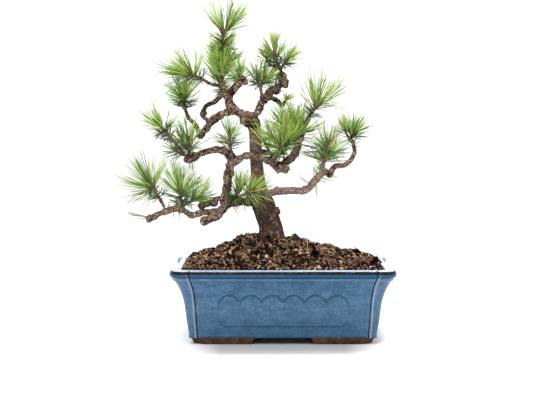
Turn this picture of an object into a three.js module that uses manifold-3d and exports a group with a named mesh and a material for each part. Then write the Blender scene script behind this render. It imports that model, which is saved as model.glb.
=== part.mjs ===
import * as THREE from 'three';
import { mergeVertices } from 'three/addons/utils/BufferGeometryUtils.js';
import Module from 'manifold-3d';

const wasm = await Module();
wasm.setup();

// Mugo pine bonsai in a glazed pot. Millimetres, z up, the front faces -y.
// The plan is worked out about the middle of the pot and moved at the end.

// Pot
const potHeight = 92;
const footHeight = 8;
const lipHeight = 9.5;
const panelHalfLength = 104.3;
const panelHalfDepth = 78;
const sideHalfLength = 111;
const sideHalfWidth = 66;
const cornerReach = 114.7;
const notchDepth = 3.6;
const footHalfLength = 110.5;
const footHalfWidth = 77;
const footChamfer = 14;
const footGapLong = 76;
const footGapShort = 60;
const reliefWidth = 1.7;
const reliefRise = 0.7;

// Soil
const soilAtWall = 89;
const soilShoulder = 92;
const soilPeak = 130.5;
const soilPeakX = -25;
const soilSlopes = [0.36, 0.235];
const seatHeight = 118;
const seatRadius = 21;
const soilGap = 1.2;

// Tree
const clearance = 0.4;
const trunkSides = 14;
const boughSides = 7;
const twigSides = 5;
const twigRadius = 2;
const budRadius = 2.1;
const needleRadius = 0.8;
const needleLength = 46;
const needlePitch = 2.2;
const needleApart = 1.5;
const lowestTip = 132;

const seeds = { trunk: 3, boughs: 11, masses: 38, soil: 5 };

// How far the wall flares out past its foot, by height
const flareHeights = [0, 13, 26, 51, 63, 73, 78, 82, 92];
const flareReach = [0, 0, 2.4, 5.6, 9, 13.6, 17.4, 21.3, 22];

// The inner wall from the rim down: height, height whose outline it follows, inset from that
const innerWall = [[90.6, 92, 9], [78, 78, 7], [63, 63, 7], [26, 26, 7.5], [15, 15, 9.5]];

// The trunk's middle line, its radius by height, and the stub of an old bough low on it
const trunkPath = [
  [-11.4, 0, 118.4], [-14.5, 0.4, 136], [-23.5, 2, 163], [-30, 3.8, 193], [-33.2, 3.4, 230],
  [-35, 2, 261], [-40, 0.3, 276.5],
];
const trunkHeights = [118, 122, 128, 140, 156, 168, 178, 190, 212, 260, 268, 276.5];
const trunkRadii = [18.4, 17, 15.6, 14.2, 13.8, 14.4, 10.6, 9.2, 8, 7.8, 9.2, 7.6];
const stubPath = [[-20, 0, 155], [-10, -3, 157], [-4, -4.5, 157.6]];
const stubRadius = 4.6;

// Boughs as paths down their middle with a radius at each end
const boughs = {
  bough_crown: {
    path: [
      [-41, 0, 275], [-52, -3.5, 280.2], [-65, -9, 290.5], [-67, -11, 299], [-58, -13, 314],
      [-49, -15, 322],
    ],
    ends: [5.2, 4.4],
  },
  bough_crown_riser: {
    path: [[-67, -11, 299.5], [-72, -5, 304.5], [-73.8, 0, 313], [-75, 2, 320]],
    ends: [3.8, 3],
  },
  bough_left: {
    path: [
      [-42, -1, 275], [-57, -3, 282], [-73, 9, 280.3], [-86, 18, 273], [-98, 28, 259.5],
      [-104.9, 31, 251],
    ],
    ends: [5, 4],
  },
  bough_left_rise: {
    path: [[-105.4, 31, 251.5], [-110, 29, 265], [-118.5, 26, 274], [-123.9, 25, 288]],
    ends: [3.2, 2.5],
  },
  bough_left_loop: {
    path: [
      [-91, 22.5, 268.6], [-101.5, 25, 279.5], [-97, 27, 289.3], [-84, 30, 297], [-75, 36, 307],
    ],
    ends: [3, 2.4],
  },
  bough_front: {
    path: [
      [-2.5, -12.5, 208.5], [-12, -9.4, 217.6], [-30, -8.2, 225.2], [-46, -11.5, 227],
      [-63, -17, 218],
    ],
    ends: [3.8, 4.4],
  },
  bough_front_arch: {
    path: [
      [-63, -17, 219], [-66, -18.5, 227], [-76, -20.5, 235], [-95, -24, 232.3],
      [-111, -28, 225.7], [-119, -30, 222],
    ],
    ends: [4.8, 3.9],
  },
  bough_front_drop: {
    path: [[-65, -17, 217], [-67.6, -16.4, 203], [-70, -15, 183], [-71.4, -14, 168]],
    ends: [5.4, 5.2],
  },
  bough_low: {
    path: [[-30, 1, 168.5], [-48, -9, 169.6], [-65, -14, 168], [-78.6, -17, 157.5]],
    ends: [5.2, 4.6],
  },
  bough_low_curl: {
    path: [
      [-69, -14, 167], [-74.5, -13.6, 173.6], [-82, -12.4, 173.4], [-91, -10.2, 168.2],
      [-102.2, -6, 166],
    ],
    ends: [3.6, 3.2],
  },
  bough_low_fork: {
    path: [[-74, -16, 161], [-81, -18.5, 151.5], [-90, -21, 148.6], [-98, -23, 145.5]],
    ends: [4, 4.2],
  },
  bough_low_reach: {
    path: [
      [-78, -17, 157.5], [-96, -24, 157.7], [-113.4, -32, 154.7], [-126, -35, 161.8],
      [-145, -39.5, 159.5], [-165, -44, 150],
    ],
    ends: [3.9, 3.4],
  },
  bough_right: {
    path: [
      [-28, 3, 176.5], [-6, -3, 182.2], [14, -8, 183.6], [29, -11, 184], [40, -13, 196],
      [52, -15, 209.2],
    ],
    ends: [4.6, 4.2],
  },
  bough_right_out: {
    path: [
      [51, -15, 208.5], [59, -11.5, 206.2], [66, -5, 214], [78.5, 3.5, 215], [90.5, 12.5, 228],
      [91, 16, 238], [87, 20, 251],
    ],
    ends: [3.5, 2.5],
  },
  bough_mid: {
    path: [[-4, -11.5, 211.8], [9, -7, 223], [15.5, -1, 229.5], [22, 6, 243], [27.4, 11, 259]],
    ends: [5, 3.2],
  },
  bough_top: {
    path: [[-38, 1, 275], [-30, 7, 283], [-26.6, 13, 292.6], [-22.6, 16, 299]],
    ends: [4.6, 4.4],
  },
  bough_top_hook: {
    path: [
      [-24, 15.4, 297.6], [-15, 21.5, 307.5], [-5, 22.8, 313.6], [2.2, 20.8, 319.6],
      [0, 17.5, 330],
    ],
    ends: [4.8, 3.8],
  },
  bough_top_back: {
    path: [[-22, 16, 300], [-14, 26, 299.5], [-6, 36, 296.4], [-1, 48, 290]],
    ends: [3.2, 2.3],
  },
  bough_back: {
    path: [[-33, 4, 228], [-24, 20, 231], [-8, 38, 228], [4, 50, 234]],
    ends: [3.4, 2.5],
  },
  bough_back_right: {
    path: [[36, -12, 191.5], [44, 4, 197], [50, 20, 204], [52, 34, 214]],
    ends: [3.2, 2.3],
  },
};

// Foliage. Each mass is a twig with needles over its outer part. `leafy` is that part's length,
// `fill` the share of its faces with a needle, `open` the angle in degrees between needle and twig
// at the tip and at the foot of that part, `size` the needle's length and `shoots` the side twigs.
// A mass that fans to one side has no needle further than `spread` degrees off its `facing`.
const masses = {
  foliage_apex: {
    stem: [[-75.3, 2.2, 320], [-78, 4, 337], [-77.5, 5, 360], [-73, 6, 380]],
    leafy: 42, fill: 0.62, open: [14, 78], size: 1,
  },
  foliage_crown_left: {
    stem: [[-75, 36, 306.6], [-77.5, 37, 315], [-79, 37, 326]],
    leafy: 16, fill: 0.8, open: [12, 72], size: 0.88,
  },
  foliage_crown_mid: {
    stem: [[-49, -15, 321.6], [-53, -20, 329]],
    leafy: 9, fill: 0.8, open: [10, 62], size: 0.76,
  },
  foliage_upper_left: {
    stem: [[-73.6, -0.6, 312.6], [-88, -12, 314], [-98.2, -16, 322.6], [-114, -21, 328]],
    leafy: 16, fill: 0.8, open: [10, 74], size: 0.96,
    facing: [-0.75, -0.2, 0.6], spread: 84,
  },
  foliage_left: {
    stem: [[-123.8, 25, 287.4], [-124.6, 24, 300]],
    leafy: 11, fill: 0.8, open: [14, 66], size: 0.7,
    facing: [0.1, 0, 1], spread: 105,
  },
  foliage_far_left: {
    stem: [[-117.5, -29.6, 223], [-124.2, -34, 231.4], [-137, -41, 250.4], [-152, -48, 264.5]],
    leafy: 15, fill: 0.8, open: [12, 76], size: 0.84,
    facing: [-0.35, -0.2, 0.9], spread: 105,
  },
  foliage_mid_left: {
    stem: [[-115, -29.2, 223.6], [-114.4, -31, 234], [-116, -33, 250]],
    leafy: 13, fill: 0.8, open: [12, 74], size: 0.9,
  },
  foliage_front: {
    stem: [[-57, -15, 223.6], [-63.6, -21.5, 236.4], [-66.7, -25, 256]],
    leafy: 13, fill: 0.8, open: [30, 84], size: 0.62,
    facing: [0.1, -0.2, 1], spread: 88,
  },
  foliage_low_far: {
    stem: [[-144.8, -39.4, 159.6], [-148.6, -45, 174.4], [-158.8, -53, 191]],
    leafy: 14, fill: 0.8, open: [8, 82], size: 1,
    facing: [-0.85, -0.2, 0.5], spread: 84,
  },
  foliage_low_tip: {
    stem: [[-165.5, -44, 150], [-175, -46.6, 147.8]],
    leafy: 6, fill: 0.4, open: [8, 40], size: 0.62,
  },
  foliage_low_left: {
    stem: [[-125.4, -35, 161.6], [-124.6, -33, 170.4], [-129.2, -29, 188]],
    leafy: 13, fill: 0.8, open: [8, 80], size: 0.92,
    facing: [0.3, -0.3, 0.9], spread: 92,
  },
  foliage_low_front: {
    stem: [[-60, -12.6, 168.4], [-52.5, -24, 174], [-45.6, -32, 177.4], [-36, -39, 186]],
    leafy: 15, fill: 0.8, open: [10, 70], size: 0.9,
  },
  foliage_mid: {
    stem: [[-11, -9.6, 217], [-5, -19, 224.4], [-1.4, -27, 237], [0.6, -30, 246]],
    leafy: 14, fill: 0.8, open: [10, 78], size: 0.96, shoots: 1,
  },
  foliage_mid_back: {
    stem: [[14.8, -1.6, 228.8], [16.4, 7, 238], [15, 17, 250], [19, 22, 261]],
    leafy: 16, fill: 0.85, open: [10, 78], size: 1, shoots: 1,
  },
  foliage_reach: {
    stem: [[27.2, 10.8, 258.4], [34.5, 15, 276], [46.5, 19.4, 292]],
    leafy: 17, fill: 0.8, open: [8, 68], size: 1.2,
    facing: [0.35, 0, 0.93], spread: 76,
  },
  foliage_right_mid: {
    stem: [[49.8, -15, 207.4], [49.6, -18.4, 216], [54.4, -23, 231.6], [55, -25, 244]],
    leafy: 15, fill: 0.8, open: [8, 84], size: 0.9,
  },
  foliage_right: {
    stem: [[87.2, 19.8, 250.2], [85, 22, 261.5]],
    leafy: 11, fill: 0.8, open: [10, 76], size: 0.72,
    facing: [0.4, 0, 0.9], spread: 88,
  },
  foliage_top_left: {
    stem: [[-25.8, 14.6, 295.4], [-27, 22, 308], [-32, 31.4, 320.6], [-32.6, 33, 328]],
    leafy: 11, fill: 0.8, open: [10, 74], size: 0.72,
  },
  foliage_top: {
    stem: [[0, 17.6, 329.4], [-3, 14.6, 340], [-9.5, 11, 359]],
    leafy: 20, fill: 0.8, open: [10, 72], size: 0.72, shoots: 1,
  },
  foliage_top_back: {
    stem: [[-1, 48, 290.2], [4, 55, 297]],
    leafy: 9, fill: 0.8, open: [10, 76], size: 0.78,
  },
  foliage_back: {
    stem: [[4, 50, 233.8], [8, 54, 246]],
    leafy: 11, fill: 0.8, open: [10, 80], size: 0.8, shoots: 1,
  },
  foliage_back_right: {
    stem: [[52, 34, 213.6], [54, 40, 226]],
    leafy: 11, fill: 0.8, open: [10, 80], size: 0.82, shoots: 1,
  },
};

const finishes = {
  glaze: { color: 0x4d7897, roughness: 0.28, metalness: 0 },
  soil: { color: 0x3f2a20, roughness: 0.95, metalness: 0 },
  trunk: { color: 0x6e5646, roughness: 0.9, metalness: 0 },
  bough: { color: 0x63503f, roughness: 0.9, metalness: 0 },
  needle: { color: 0x5d8f4c, roughness: 0.6, metalness: 0 },
};

function makeRandom(seed) {
  let state = seed * 7919 + 17;
  return () => {
    state = (state * 48271) % 2147483647;
    return state / 2147483647;
  };
}

function toVector(point) {
  return new THREE.Vector3(point[0], point[1], point[2]);
}

function lookUp(heights, values, z) {
  let k = 0;
  while (k < heights.length - 2 && z > heights[k + 1]) {
    k += 1;
  }
  const share = (z - heights[k]) / (heights[k + 1] - heights[k]);
  return THREE.MathUtils.lerp(values[k], values[k + 1], THREE.MathUtils.clamp(share, 0, 1));
}

// A closed solid over rings of equal count, each turning left about the way they advance
function skin(rings) {
  const count = rings[0].length;
  const positions = [];
  const triangles = [];
  for (const ring of rings) {
    for (const point of ring) {
      positions.push(point.x, point.y, point.z);
    }
  }
  for (let i = 0; i < rings.length - 1; i += 1) {
    for (let j = 0; j < count; j += 1) {
      const a = i * count + j;
      const b = i * count + (j + 1) % count;
      triangles.push(a, b, b + count, a, b + count, a + count);
    }
  }
  for (const [ring, flip] of [[0, true], [rings.length - 1, false]]) {
    const middle = new THREE.Vector3();
    for (const point of rings[ring]) {
      middle.addScaledVector(point, 1 / count);
    }
    const tip = positions.length / 3;
    positions.push(middle.x, middle.y, middle.z);
    for (let j = 0; j < count; j += 1) {
      const a = ring * count + j;
      const b = ring * count + (j + 1) % count;
      if (flip) {
        triangles.push(tip, b, a);
      } else {
        triangles.push(tip, a, b);
      }
    }
  }
  return toSolid(positions, triangles);
}

function toSolid(positions, triangles) {
  const geometry = new THREE.BufferGeometry();
  geometry.setAttribute('position', new THREE.Float32BufferAttribute(positions, 3));
  geometry.setIndex(triangles);
  const merged = mergeVertices(geometry, 1e-5);
  return new wasm.Manifold(new wasm.Mesh({
    numProp: 3,
    vertProperties: new Float32Array(merged.attributes.position.array),
    triVerts: new Uint32Array(merged.index.array),
  }));
}

// The largest closed shell of a solid, which leaves out loose scraps and sealed hollows
function mainShell(solid) {
  const mesh = solid.getMesh();
  const points = mesh.vertProperties;
  const triangles = mesh.triVerts;
  const parent = Array.from({ length: points.length / 3 }, (_, k) => k);
  const find = (k) => {
    let root = k;
    while (parent[root] !== root) {
      root = parent[root];
    }
    parent[k] = root;
    return root;
  };
  for (let t = 0; t < triangles.length; t += 3) {
    parent[find(triangles[t])] = find(triangles[t + 1]);
    parent[find(triangles[t + 1])] = find(triangles[t + 2]);
  }
  const shells = new Map();
  const corner = (k) => new THREE.Vector3(points[3 * k], points[3 * k + 1], points[3 * k + 2]);
  for (let t = 0; t < triangles.length; t += 3) {
    const root = find(triangles[t]);
    const shell = shells.get(root) ?? { volume: 0, triangles: [] };
    const [a, b, c] = [corner(triangles[t]), corner(triangles[t + 1]), corner(triangles[t + 2])];
    shell.volume += a.dot(b.cross(c)) / 6;
    shell.triangles.push(triangles[t], triangles[t + 1], triangles[t + 2]);
    shells.set(root, shell);
  }
  const best = [...shells.values()].sort((a, b) => b.volume - a.volume)[0];
  const renumber = new Map();
  const positions = [];
  const index = [];
  for (const vertex of best.triangles) {
    if (!renumber.has(vertex)) {
      renumber.set(vertex, positions.length / 3);
      positions.push(points[3 * vertex], points[3 * vertex + 1], points[3 * vertex + 2]);
    }
    index.push(renumber.get(vertex));
  }
  return { positions, index };
}

function toMesh(name, solid, finish, flat) {
  const { positions, index } = mainShell(solid);
  const geometry = new THREE.BufferGeometry();
  geometry.setAttribute('position', new THREE.Float32BufferAttribute(positions, 3));
  geometry.setIndex(index);
  geometry.computeVertexNormals();
  const material = new THREE.MeshStandardMaterial({ ...finish, flatShading: flat });
  const mesh = new THREE.Mesh(geometry, material);
  mesh.name = name;
  return mesh;
}

// One quarter of the pot's plan, mirrored round: a straight panel, a notch, a rounded corner,
// a notch and the end panel. `inset` moves it in and `z` sets the flare. Far in, the notches go.
function potOutline(z, inset) {
  const flare = lookUp(flareHeights, flareReach, z);
  const lobed = inset < 5;
  const notch = lobed ? notchDepth : 0;
  const arris = lobed ? 1.4 : 0;
  const panelX = panelHalfLength + 0.42 * flare - inset * 0.5;
  const panelY = panelHalfDepth + 0.82 * flare - inset;
  const sideX = sideHalfLength + 0.94 * flare - inset;
  const sideY = sideHalfWidth + 0.36 * flare - inset * 0.5;
  const reachX = lobed ? cornerReach + flare - inset * 1.1 : sideX;
  const reachY = lobed ? panelY + 1.2 : panelY;
  const quarter = [
    [0, panelY],
    [panelX * 0.5, panelY],
    [panelX - 1.6, panelY],
    [panelX, panelY - arris],
    [panelX + 1.2, panelY - notch],
  ];
  const startX = panelX + 2.6;
  const startY = sideY + 2.6;
  for (let k = 0; k <= 5; k += 1) {
    const turn = (0.08 + 0.84 * k / 5) * Math.PI / 2;
    quarter.push([
      startX + (reachX - startX) * Math.sin(turn) ** 0.85,
      startY + (reachY - startY) * Math.cos(turn) ** 0.85,
    ]);
  }
  quarter.push(
    [sideX - notch, sideY + 1.2],
    [sideX - arris, sideY],
    [sideX, sideY - 1.6],
    [sideX, sideY * 0.5],
  );
  const ring = [];
  const mirrored = [...quarter].reverse();
  const add = (points, signX, signY, skipFirst) => {
    for (const [x, y] of points.slice(skipFirst ? 1 : 0)) {
      ring.push(new THREE.Vector3(signX * x, signY * y, z));
    }
  };
  add(quarter, 1, -1, false);
  ring.push(new THREE.Vector3(sideX, 0, z));
  add(mirrored, 1, 1, false);
  add(quarter, -1, 1, true);
  ring.push(new THREE.Vector3(-sideX, 0, z));
  add(mirrored.slice(0, -1), -1, -1, false);
  return ring;
}

function ringAt(outlineZ, inset, z) {
  return potOutline(outlineZ, inset).map((point) => point.setZ(z));
}

// A raised line round a panel: scalloped along its top and straight below
function panelRelief(halfWidth, arches, facePoint) {
  const bottom = 23;
  const valley = 52;
  const rise = 8.7;
  const path = [];
  const steps = 4;
  for (let k = 0; k <= arches * steps; k += 1) {
    const share = k / (arches * steps);
    const lift = Math.abs(Math.sin(Math.PI * share * arches)) ** 0.75;
    path.push([halfWidth * (1 - 2 * share), valley + rise * lift]);
  }
  const corner = [[1.01, 0.7], [1.004, 0.43], [0.968, 0.15], [0.89, 0]];
  for (const [x, share] of corner) {
    path.push([-halfWidth * x, bottom + (valley - bottom) * share]);
  }
  path.push([0, bottom]);
  for (const [x, share] of [...corner].reverse()) {
    path.push([halfWidth * x, bottom + (valley - bottom) * share]);
  }
  const rings = path.map(([x, z], k) => {
    const [beforeX, beforeZ] = path[(k + path.length - 1) % path.length];
    const [afterX, afterZ] = path[(k + 1) % path.length];
    const along = new THREE.Vector2(afterX - beforeX, afterZ - beforeZ).normalize();
    const acrossX = -along.y * reliefWidth / 2;
    const acrossZ = along.x * reliefWidth / 2;
    return [
      facePoint(x + acrossX, z + acrossZ, -0.6),
      facePoint(x - acrossX, z - acrossZ, -0.6),
      facePoint(x, z, reliefRise),
    ];
  });
  const positions = [];
  const triangles = [];
  rings.flat().forEach((point) => positions.push(point.x, point.y, point.z));
  for (let i = 0; i < rings.length; i += 1) {
    const next = (i + 1) % rings.length;
    for (let j = 0; j < 3; j += 1) {
      const a = i * 3 + j;
      const b = i * 3 + (j + 1) % 3;
      const c = next * 3 + (j + 1) % 3;
      const d = next * 3 + j;
      triangles.push(a, c, b, a, d, c);
    }
  }
  return toSolid(positions, triangles);
}

function buildPot() {
  const lipBottom = potHeight - lipHeight;
  const rings = [
    ringAt(footHeight, 0, footHeight),
    ...[13, 26, 51, 63, 73, 78].map((z) => ringAt(z, 0, z)),
    ringAt(80.5, 0, lipBottom - 0.8),
    ringAt(lipBottom, -1.2, lipBottom),
    ringAt(potHeight, -0.8, potHeight - 4),
    ringAt(potHeight, 0.4, potHeight - 3),
    ringAt(potHeight, 0.2, potHeight - 0.8),
    ringAt(potHeight, 1.4, potHeight),
    ringAt(potHeight, 8, potHeight - 0.2),
    ...innerWall.map(([z, outlineZ, inset]) => ringAt(outlineZ, inset, z)),
  ];
  let pot = skin(rings);

  // Four feet, each turning a corner, with slanted ends
  const footRing = (inset, z) => {
    const [long, short] = [footHalfLength - inset, footHalfWidth - inset];
    const cut = footChamfer - inset * 0.5;
    const corner = [[long - cut, short], [long, short - cut]];
    const loop = [
      ...corner.map(([x, y]) => [x, -y]),
      ...[...corner].reverse(),
      ...corner.map(([x, y]) => [-x, y]),
      ...[...corner].reverse().map(([x, y]) => [-x, -y]),
    ];
    return loop.map(([x, y]) => new THREE.Vector3(x, y, z));
  };
  const skirt = skin([footRing(1.6, 0), footRing(0, footHeight + 1)]);
  const hollow = skin([footRing(15, -1), footRing(15, footHeight + 3)]);
  const slot = (half, reach, alongX) => {
    const section = (grow, z) => {
      const end = half + grow;
      const loop = [[-end, -reach], [end, -reach], [end, reach], [-end, reach]];
      return loop.map(([x, y]) => (
        alongX ? new THREE.Vector3(x, y, z) : new THREE.Vector3(-y, x, z)
      ));
    };
    return skin([section(1.2, -1), section(-5.5, footHeight + 3)]);
  };
  const feet = skirt.subtract(hollow)
    .subtract(slot(footGapLong / 2, 200, true))
    .subtract(slot(footGapShort / 2, 200, false));
  pot = pot.add(feet);

  const longFace = (sign) => (x, z, out) => {
    const y = panelHalfDepth + 0.82 * lookUp(flareHeights, flareReach, z) + out;
    return new THREE.Vector3(-sign * x, sign * y, z);
  };
  const endFace = (sign) => (y, z, out) => {
    const x = sideHalfLength + 0.94 * lookUp(flareHeights, flareReach, z) + out;
    return new THREE.Vector3(sign * x, sign * y, z);
  };
  for (const sign of [-1, 1]) {
    pot = pot.add(panelRelief(78, 6, longFace(sign)));
    pot = pot.add(panelRelief(50, 4, endFace(sign)));
  }
  return pot;
}

// Height of the ground, a ridge that falls away from beside the trunk to all sides
function groundHeight(x, y, random) {
  const dx = x - soilPeakX;
  const crest = soilPeak - Math.abs(dx) * soilSlopes[dx < 0 ? 0 : 1];
  const across = Math.min(1, Math.abs(y - 8) / 88) ** 1.8;
  return soilShoulder + (crest - soilShoulder) * (1 - across) + (random() - 0.5) * 3.4;
}

function buildSoil(trunkBase) {
  const random = makeRandom(seeds.soil);
  // The ground follows the inner wall, a hair inside it
  const inside = (ring) => ring.map((point) => {
    const scale = new THREE.Vector3(1 - soilGap / 110, 1 - soilGap / 80, 1);
    return point.clone().multiply(scale);
  });
  const [upper, lower] = innerWall;
  const share = (upper[0] - soilAtWall) / (upper[0] - lower[0]);
  const lowerRing = ringAt(lower[1], lower[2], lower[0]);
  const upperRing = ringAt(upper[1], upper[2], upper[0]);
  const rim = inside(upperRing.map((point, k) => point.lerp(lowerRing[k], share)));
  const wallUpwards = innerWall.slice(1).reverse();
  const rings = wallUpwards.map(([z, outlineZ, inset]) => inside(ringAt(outlineZ, inset, z)));
  rings[0].forEach((point) => point.setZ(point.z + clearance));
  rings.push(rim);
  const shares = [0.965, 0.9, 0.8, 0.68, 0.56, 0.45, 0.35, 0.26];
  for (const part of shares) {
    rings.push(rim.map((point) => {
      const angle = Math.atan2(point.y - trunkBase.y, point.x - trunkBase.x);
      const reach = Math.hypot(point.y - trunkBase.y, point.x - trunkBase.x);
      const radius = THREE.MathUtils.lerp(seatRadius, reach, (part - 0.2) / 0.8);
      const x = trunkBase.x + radius * Math.cos(angle);
      const y = trunkBase.y + radius * Math.sin(angle);
      return new THREE.Vector3(x, y, groundHeight(x, y, random));
    }));
  }
  for (const radius of [seatRadius + 2.5, seatRadius]) {
    rings.push(rim.map((point) => {
      const angle = Math.atan2(point.y - trunkBase.y, point.x - trunkBase.x);
      const x = trunkBase.x + radius * Math.cos(angle);
      const y = trunkBase.y + radius * Math.sin(angle);
      const lift = (groundHeight(x, y, random) - seatHeight) * 0.5;
      return new THREE.Vector3(x, y, seatHeight + (radius > seatRadius ? lift : 0));
    }));
  }
  return skin(rings);
}

// Steady frames along a path, with a radius for each
function framePath(points, radiusAt, spacing) {
  const curve = new THREE.CatmullRomCurve3(points.map(toVector), false, 'centripetal');
  const count = Math.max(2, Math.round(curve.getLength() / spacing));
  const frames = [];
  let side = new THREE.Vector3(0.31, -0.87, 0.38);
  for (let k = 0; k <= count; k += 1) {
    const along = curve.getTangentAt(k / count);
    side = side.clone().addScaledVector(along, -side.dot(along)).normalize();
    const up = along.clone().cross(side);
    frames.push({ at: curve.getPointAt(k / count), along, side, up, radius: radiusAt(k / count) });
  }
  return frames;
}

// A tapering limb of `sides` faces. `grow` gives the same limb a little larger all over.
function limb(frames, sides, grow, roughness, seed) {
  const random = makeRandom(seed);
  const rings = [];
  const addRing = (frame, shift, scale) => {
    const centre = frame.at.clone().addScaledVector(frame.along, shift);
    const ring = [];
    for (let j = 0; j < sides; j += 1) {
      const turn = 2 * Math.PI * j / sides;
      const wobble = 1 + (random() - 0.5) * roughness;
      const radius = (frame.radius * wobble + grow) * scale;
      ring.push(centre.clone()
        .addScaledVector(frame.side, radius * Math.cos(turn))
        .addScaledVector(frame.up, radius * Math.sin(turn)));
    }
    rings.push(ring);
  };
  frames.forEach((frame, k) => addRing(frame, k === 0 ? -grow : 0, 1));
  const last = frames[frames.length - 1];
  addRing(last, (last.radius + grow) * 0.55, 0.72);
  addRing(last, (last.radius + grow) * 0.8, 0.3);
  return skin(rings);
}

function trunkFrames() {
  const frames = framePath(trunkPath, () => 1, 6);
  for (const frame of frames) {
    frame.radius = lookUp(trunkHeights, trunkRadii, frame.at.z);
  }
  return frames;
}

// The trunk stands on a level cut, so its lowest rings are turned flat
function buildTrunk(grow) {
  const random = makeRandom(seeds.trunk);
  const frames = trunkFrames();
  const rings = frames.map((frame, k) => {
    const level = THREE.MathUtils.clamp(k / 4, 0, 1);
    const along = new THREE.Vector3(0, 0, 1).lerp(frame.along, level).normalize();
    const side = frame.side.clone().addScaledVector(along, -frame.side.dot(along)).normalize();
    const up = along.clone().cross(side);
    const flare = 0.1 * Math.max(0, 1 - k / 4);
    const ring = [];
    for (let j = 0; j < trunkSides; j += 1) {
      const turn = 2 * Math.PI * j / trunkSides;
      const wobble = 1 + (random() - 0.5) * 0.07 + flare * Math.sin(turn * 3 + 0.8);
      const radius = frame.radius * wobble + grow;
      const point = frame.at.clone()
        .addScaledVector(side, radius * Math.cos(turn))
        .addScaledVector(up, radius * Math.sin(turn));
      ring.push(point);
    }
    return ring;
  });
  const top = frames[frames.length - 1];
  const topRing = rings[frames.length - 1];
  for (const [shift, scale] of [[0.5, 0.75], [0.72, 0.35]]) {
    const centre = top.at.clone().addScaledVector(top.along, (top.radius + grow) * shift);
    const shrink = (point) => point.clone().sub(top.at).multiplyScalar(scale).add(centre);
    rings.push(topRing.map(shrink));
  }
  const stub = framePath(stubPath, () => stubRadius + grow, 5);
  return skin(rings).add(limb(stub, boughSides, 0, 0, 1));
}

const segments = [];

function noteSegments(owner, frames, grow) {
  for (let k = 0; k < frames.length - 1; k += 1) {
    segments.push({
      owner,
      a: frames[k].at,
      b: frames[k + 1].at,
      radius: Math.max(frames[k].radius, frames[k + 1].radius) + grow,
    });
  }
}

function segmentDistance(p, q, a, b) {
  const d1 = q.clone().sub(p);
  const d2 = b.clone().sub(a);
  const r = p.clone().sub(a);
  const e1 = d1.dot(d1);
  const e2 = d2.dot(d2);
  const f = d2.dot(r);
  const c = d1.dot(r);
  const g = d1.dot(d2);
  const divisor = e1 * e2 - g * g;
  let s = divisor > 1e-9 ? THREE.MathUtils.clamp((g * f - c * e2) / divisor, 0, 1) : 0;
  let t = (g * s + f) / e2;
  if (t < 0 || t > 1) {
    t = THREE.MathUtils.clamp(t, 0, 1);
    s = THREE.MathUtils.clamp((g * t - c) / e1, 0, 1);
  }
  return p.clone().addScaledVector(d1, s).distanceTo(a.clone().addScaledVector(d2, t));
}

function isClear(owner, p, q, radius) {
  const middle = p.clone().add(q).multiplyScalar(0.5);
  const half = p.distanceTo(q) / 2;
  for (const other of segments) {
    if (other.owner === owner) {
      continue;
    }
    const reach = other.a.distanceTo(other.b) / 2 + half + other.radius + radius + clearance;
    const otherMiddle = other.a.clone().add(other.b).multiplyScalar(0.5);
    if (middle.distanceTo(otherMiddle) > reach) {
      continue;
    }
    if (segmentDistance(p, q, other.a, other.b) < other.radius + radius + clearance) {
      return false;
    }
  }
  return true;
}

const centres = {};

// A needle's tip stays nearer its own mass than any other, with a little give
function keepsToSpace(name, tip) {
  const own = tip.distanceTo(centres[name]);
  for (const [other, centre] of Object.entries(centres)) {
    if (other !== name && tip.distanceTo(centre) < own - 7) {
      return false;
    }
  }
  return true;
}

// Needles of one mass keep apart once they are clear of the bud
function isFree(root, tip, own) {
  return own.every((other) => segmentDistance(root, tip, other.a, other.b) > needleApart);
}

// A twig's frames: widely spaced along its bare part, close together where needles stand
function twigFrames(path, leafy) {
  const curve = new THREE.CatmullRomCurve3(path.map(toVector), false, 'centripetal');
  const length = curve.getLength();
  const bare = Math.max(0, length - leafy);
  const places = [];
  const bareSteps = Math.ceil(bare / 9);
  for (let k = 0; k < bareSteps; k += 1) {
    places.push(bare * k / bareSteps);
  }
  const leafSteps = Math.max(2, Math.round((length - bare) / needlePitch));
  for (let k = 0; k <= leafSteps; k += 1) {
    places.push(bare + (length - bare) * k / leafSteps);
  }
  let side = new THREE.Vector3(0.31, -0.87, 0.38);
  return places.map((place) => {
    const along = curve.getTangentAt(place / length);
    side = side.clone().addScaledVector(along, -side.dot(along)).normalize();
    const share = leafy > 0 ? (place - bare) / (length - bare) : -1;
    const leafyRadius = THREE.MathUtils.lerp(budRadius, budRadius * 0.8, share);
    const radius = share < 0 ? twigRadius : leafyRadius;
    const up = along.clone().cross(side);
    return { at: curve.getPointAt(place / length), along, side, up, radius, share };
  });
}

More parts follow.
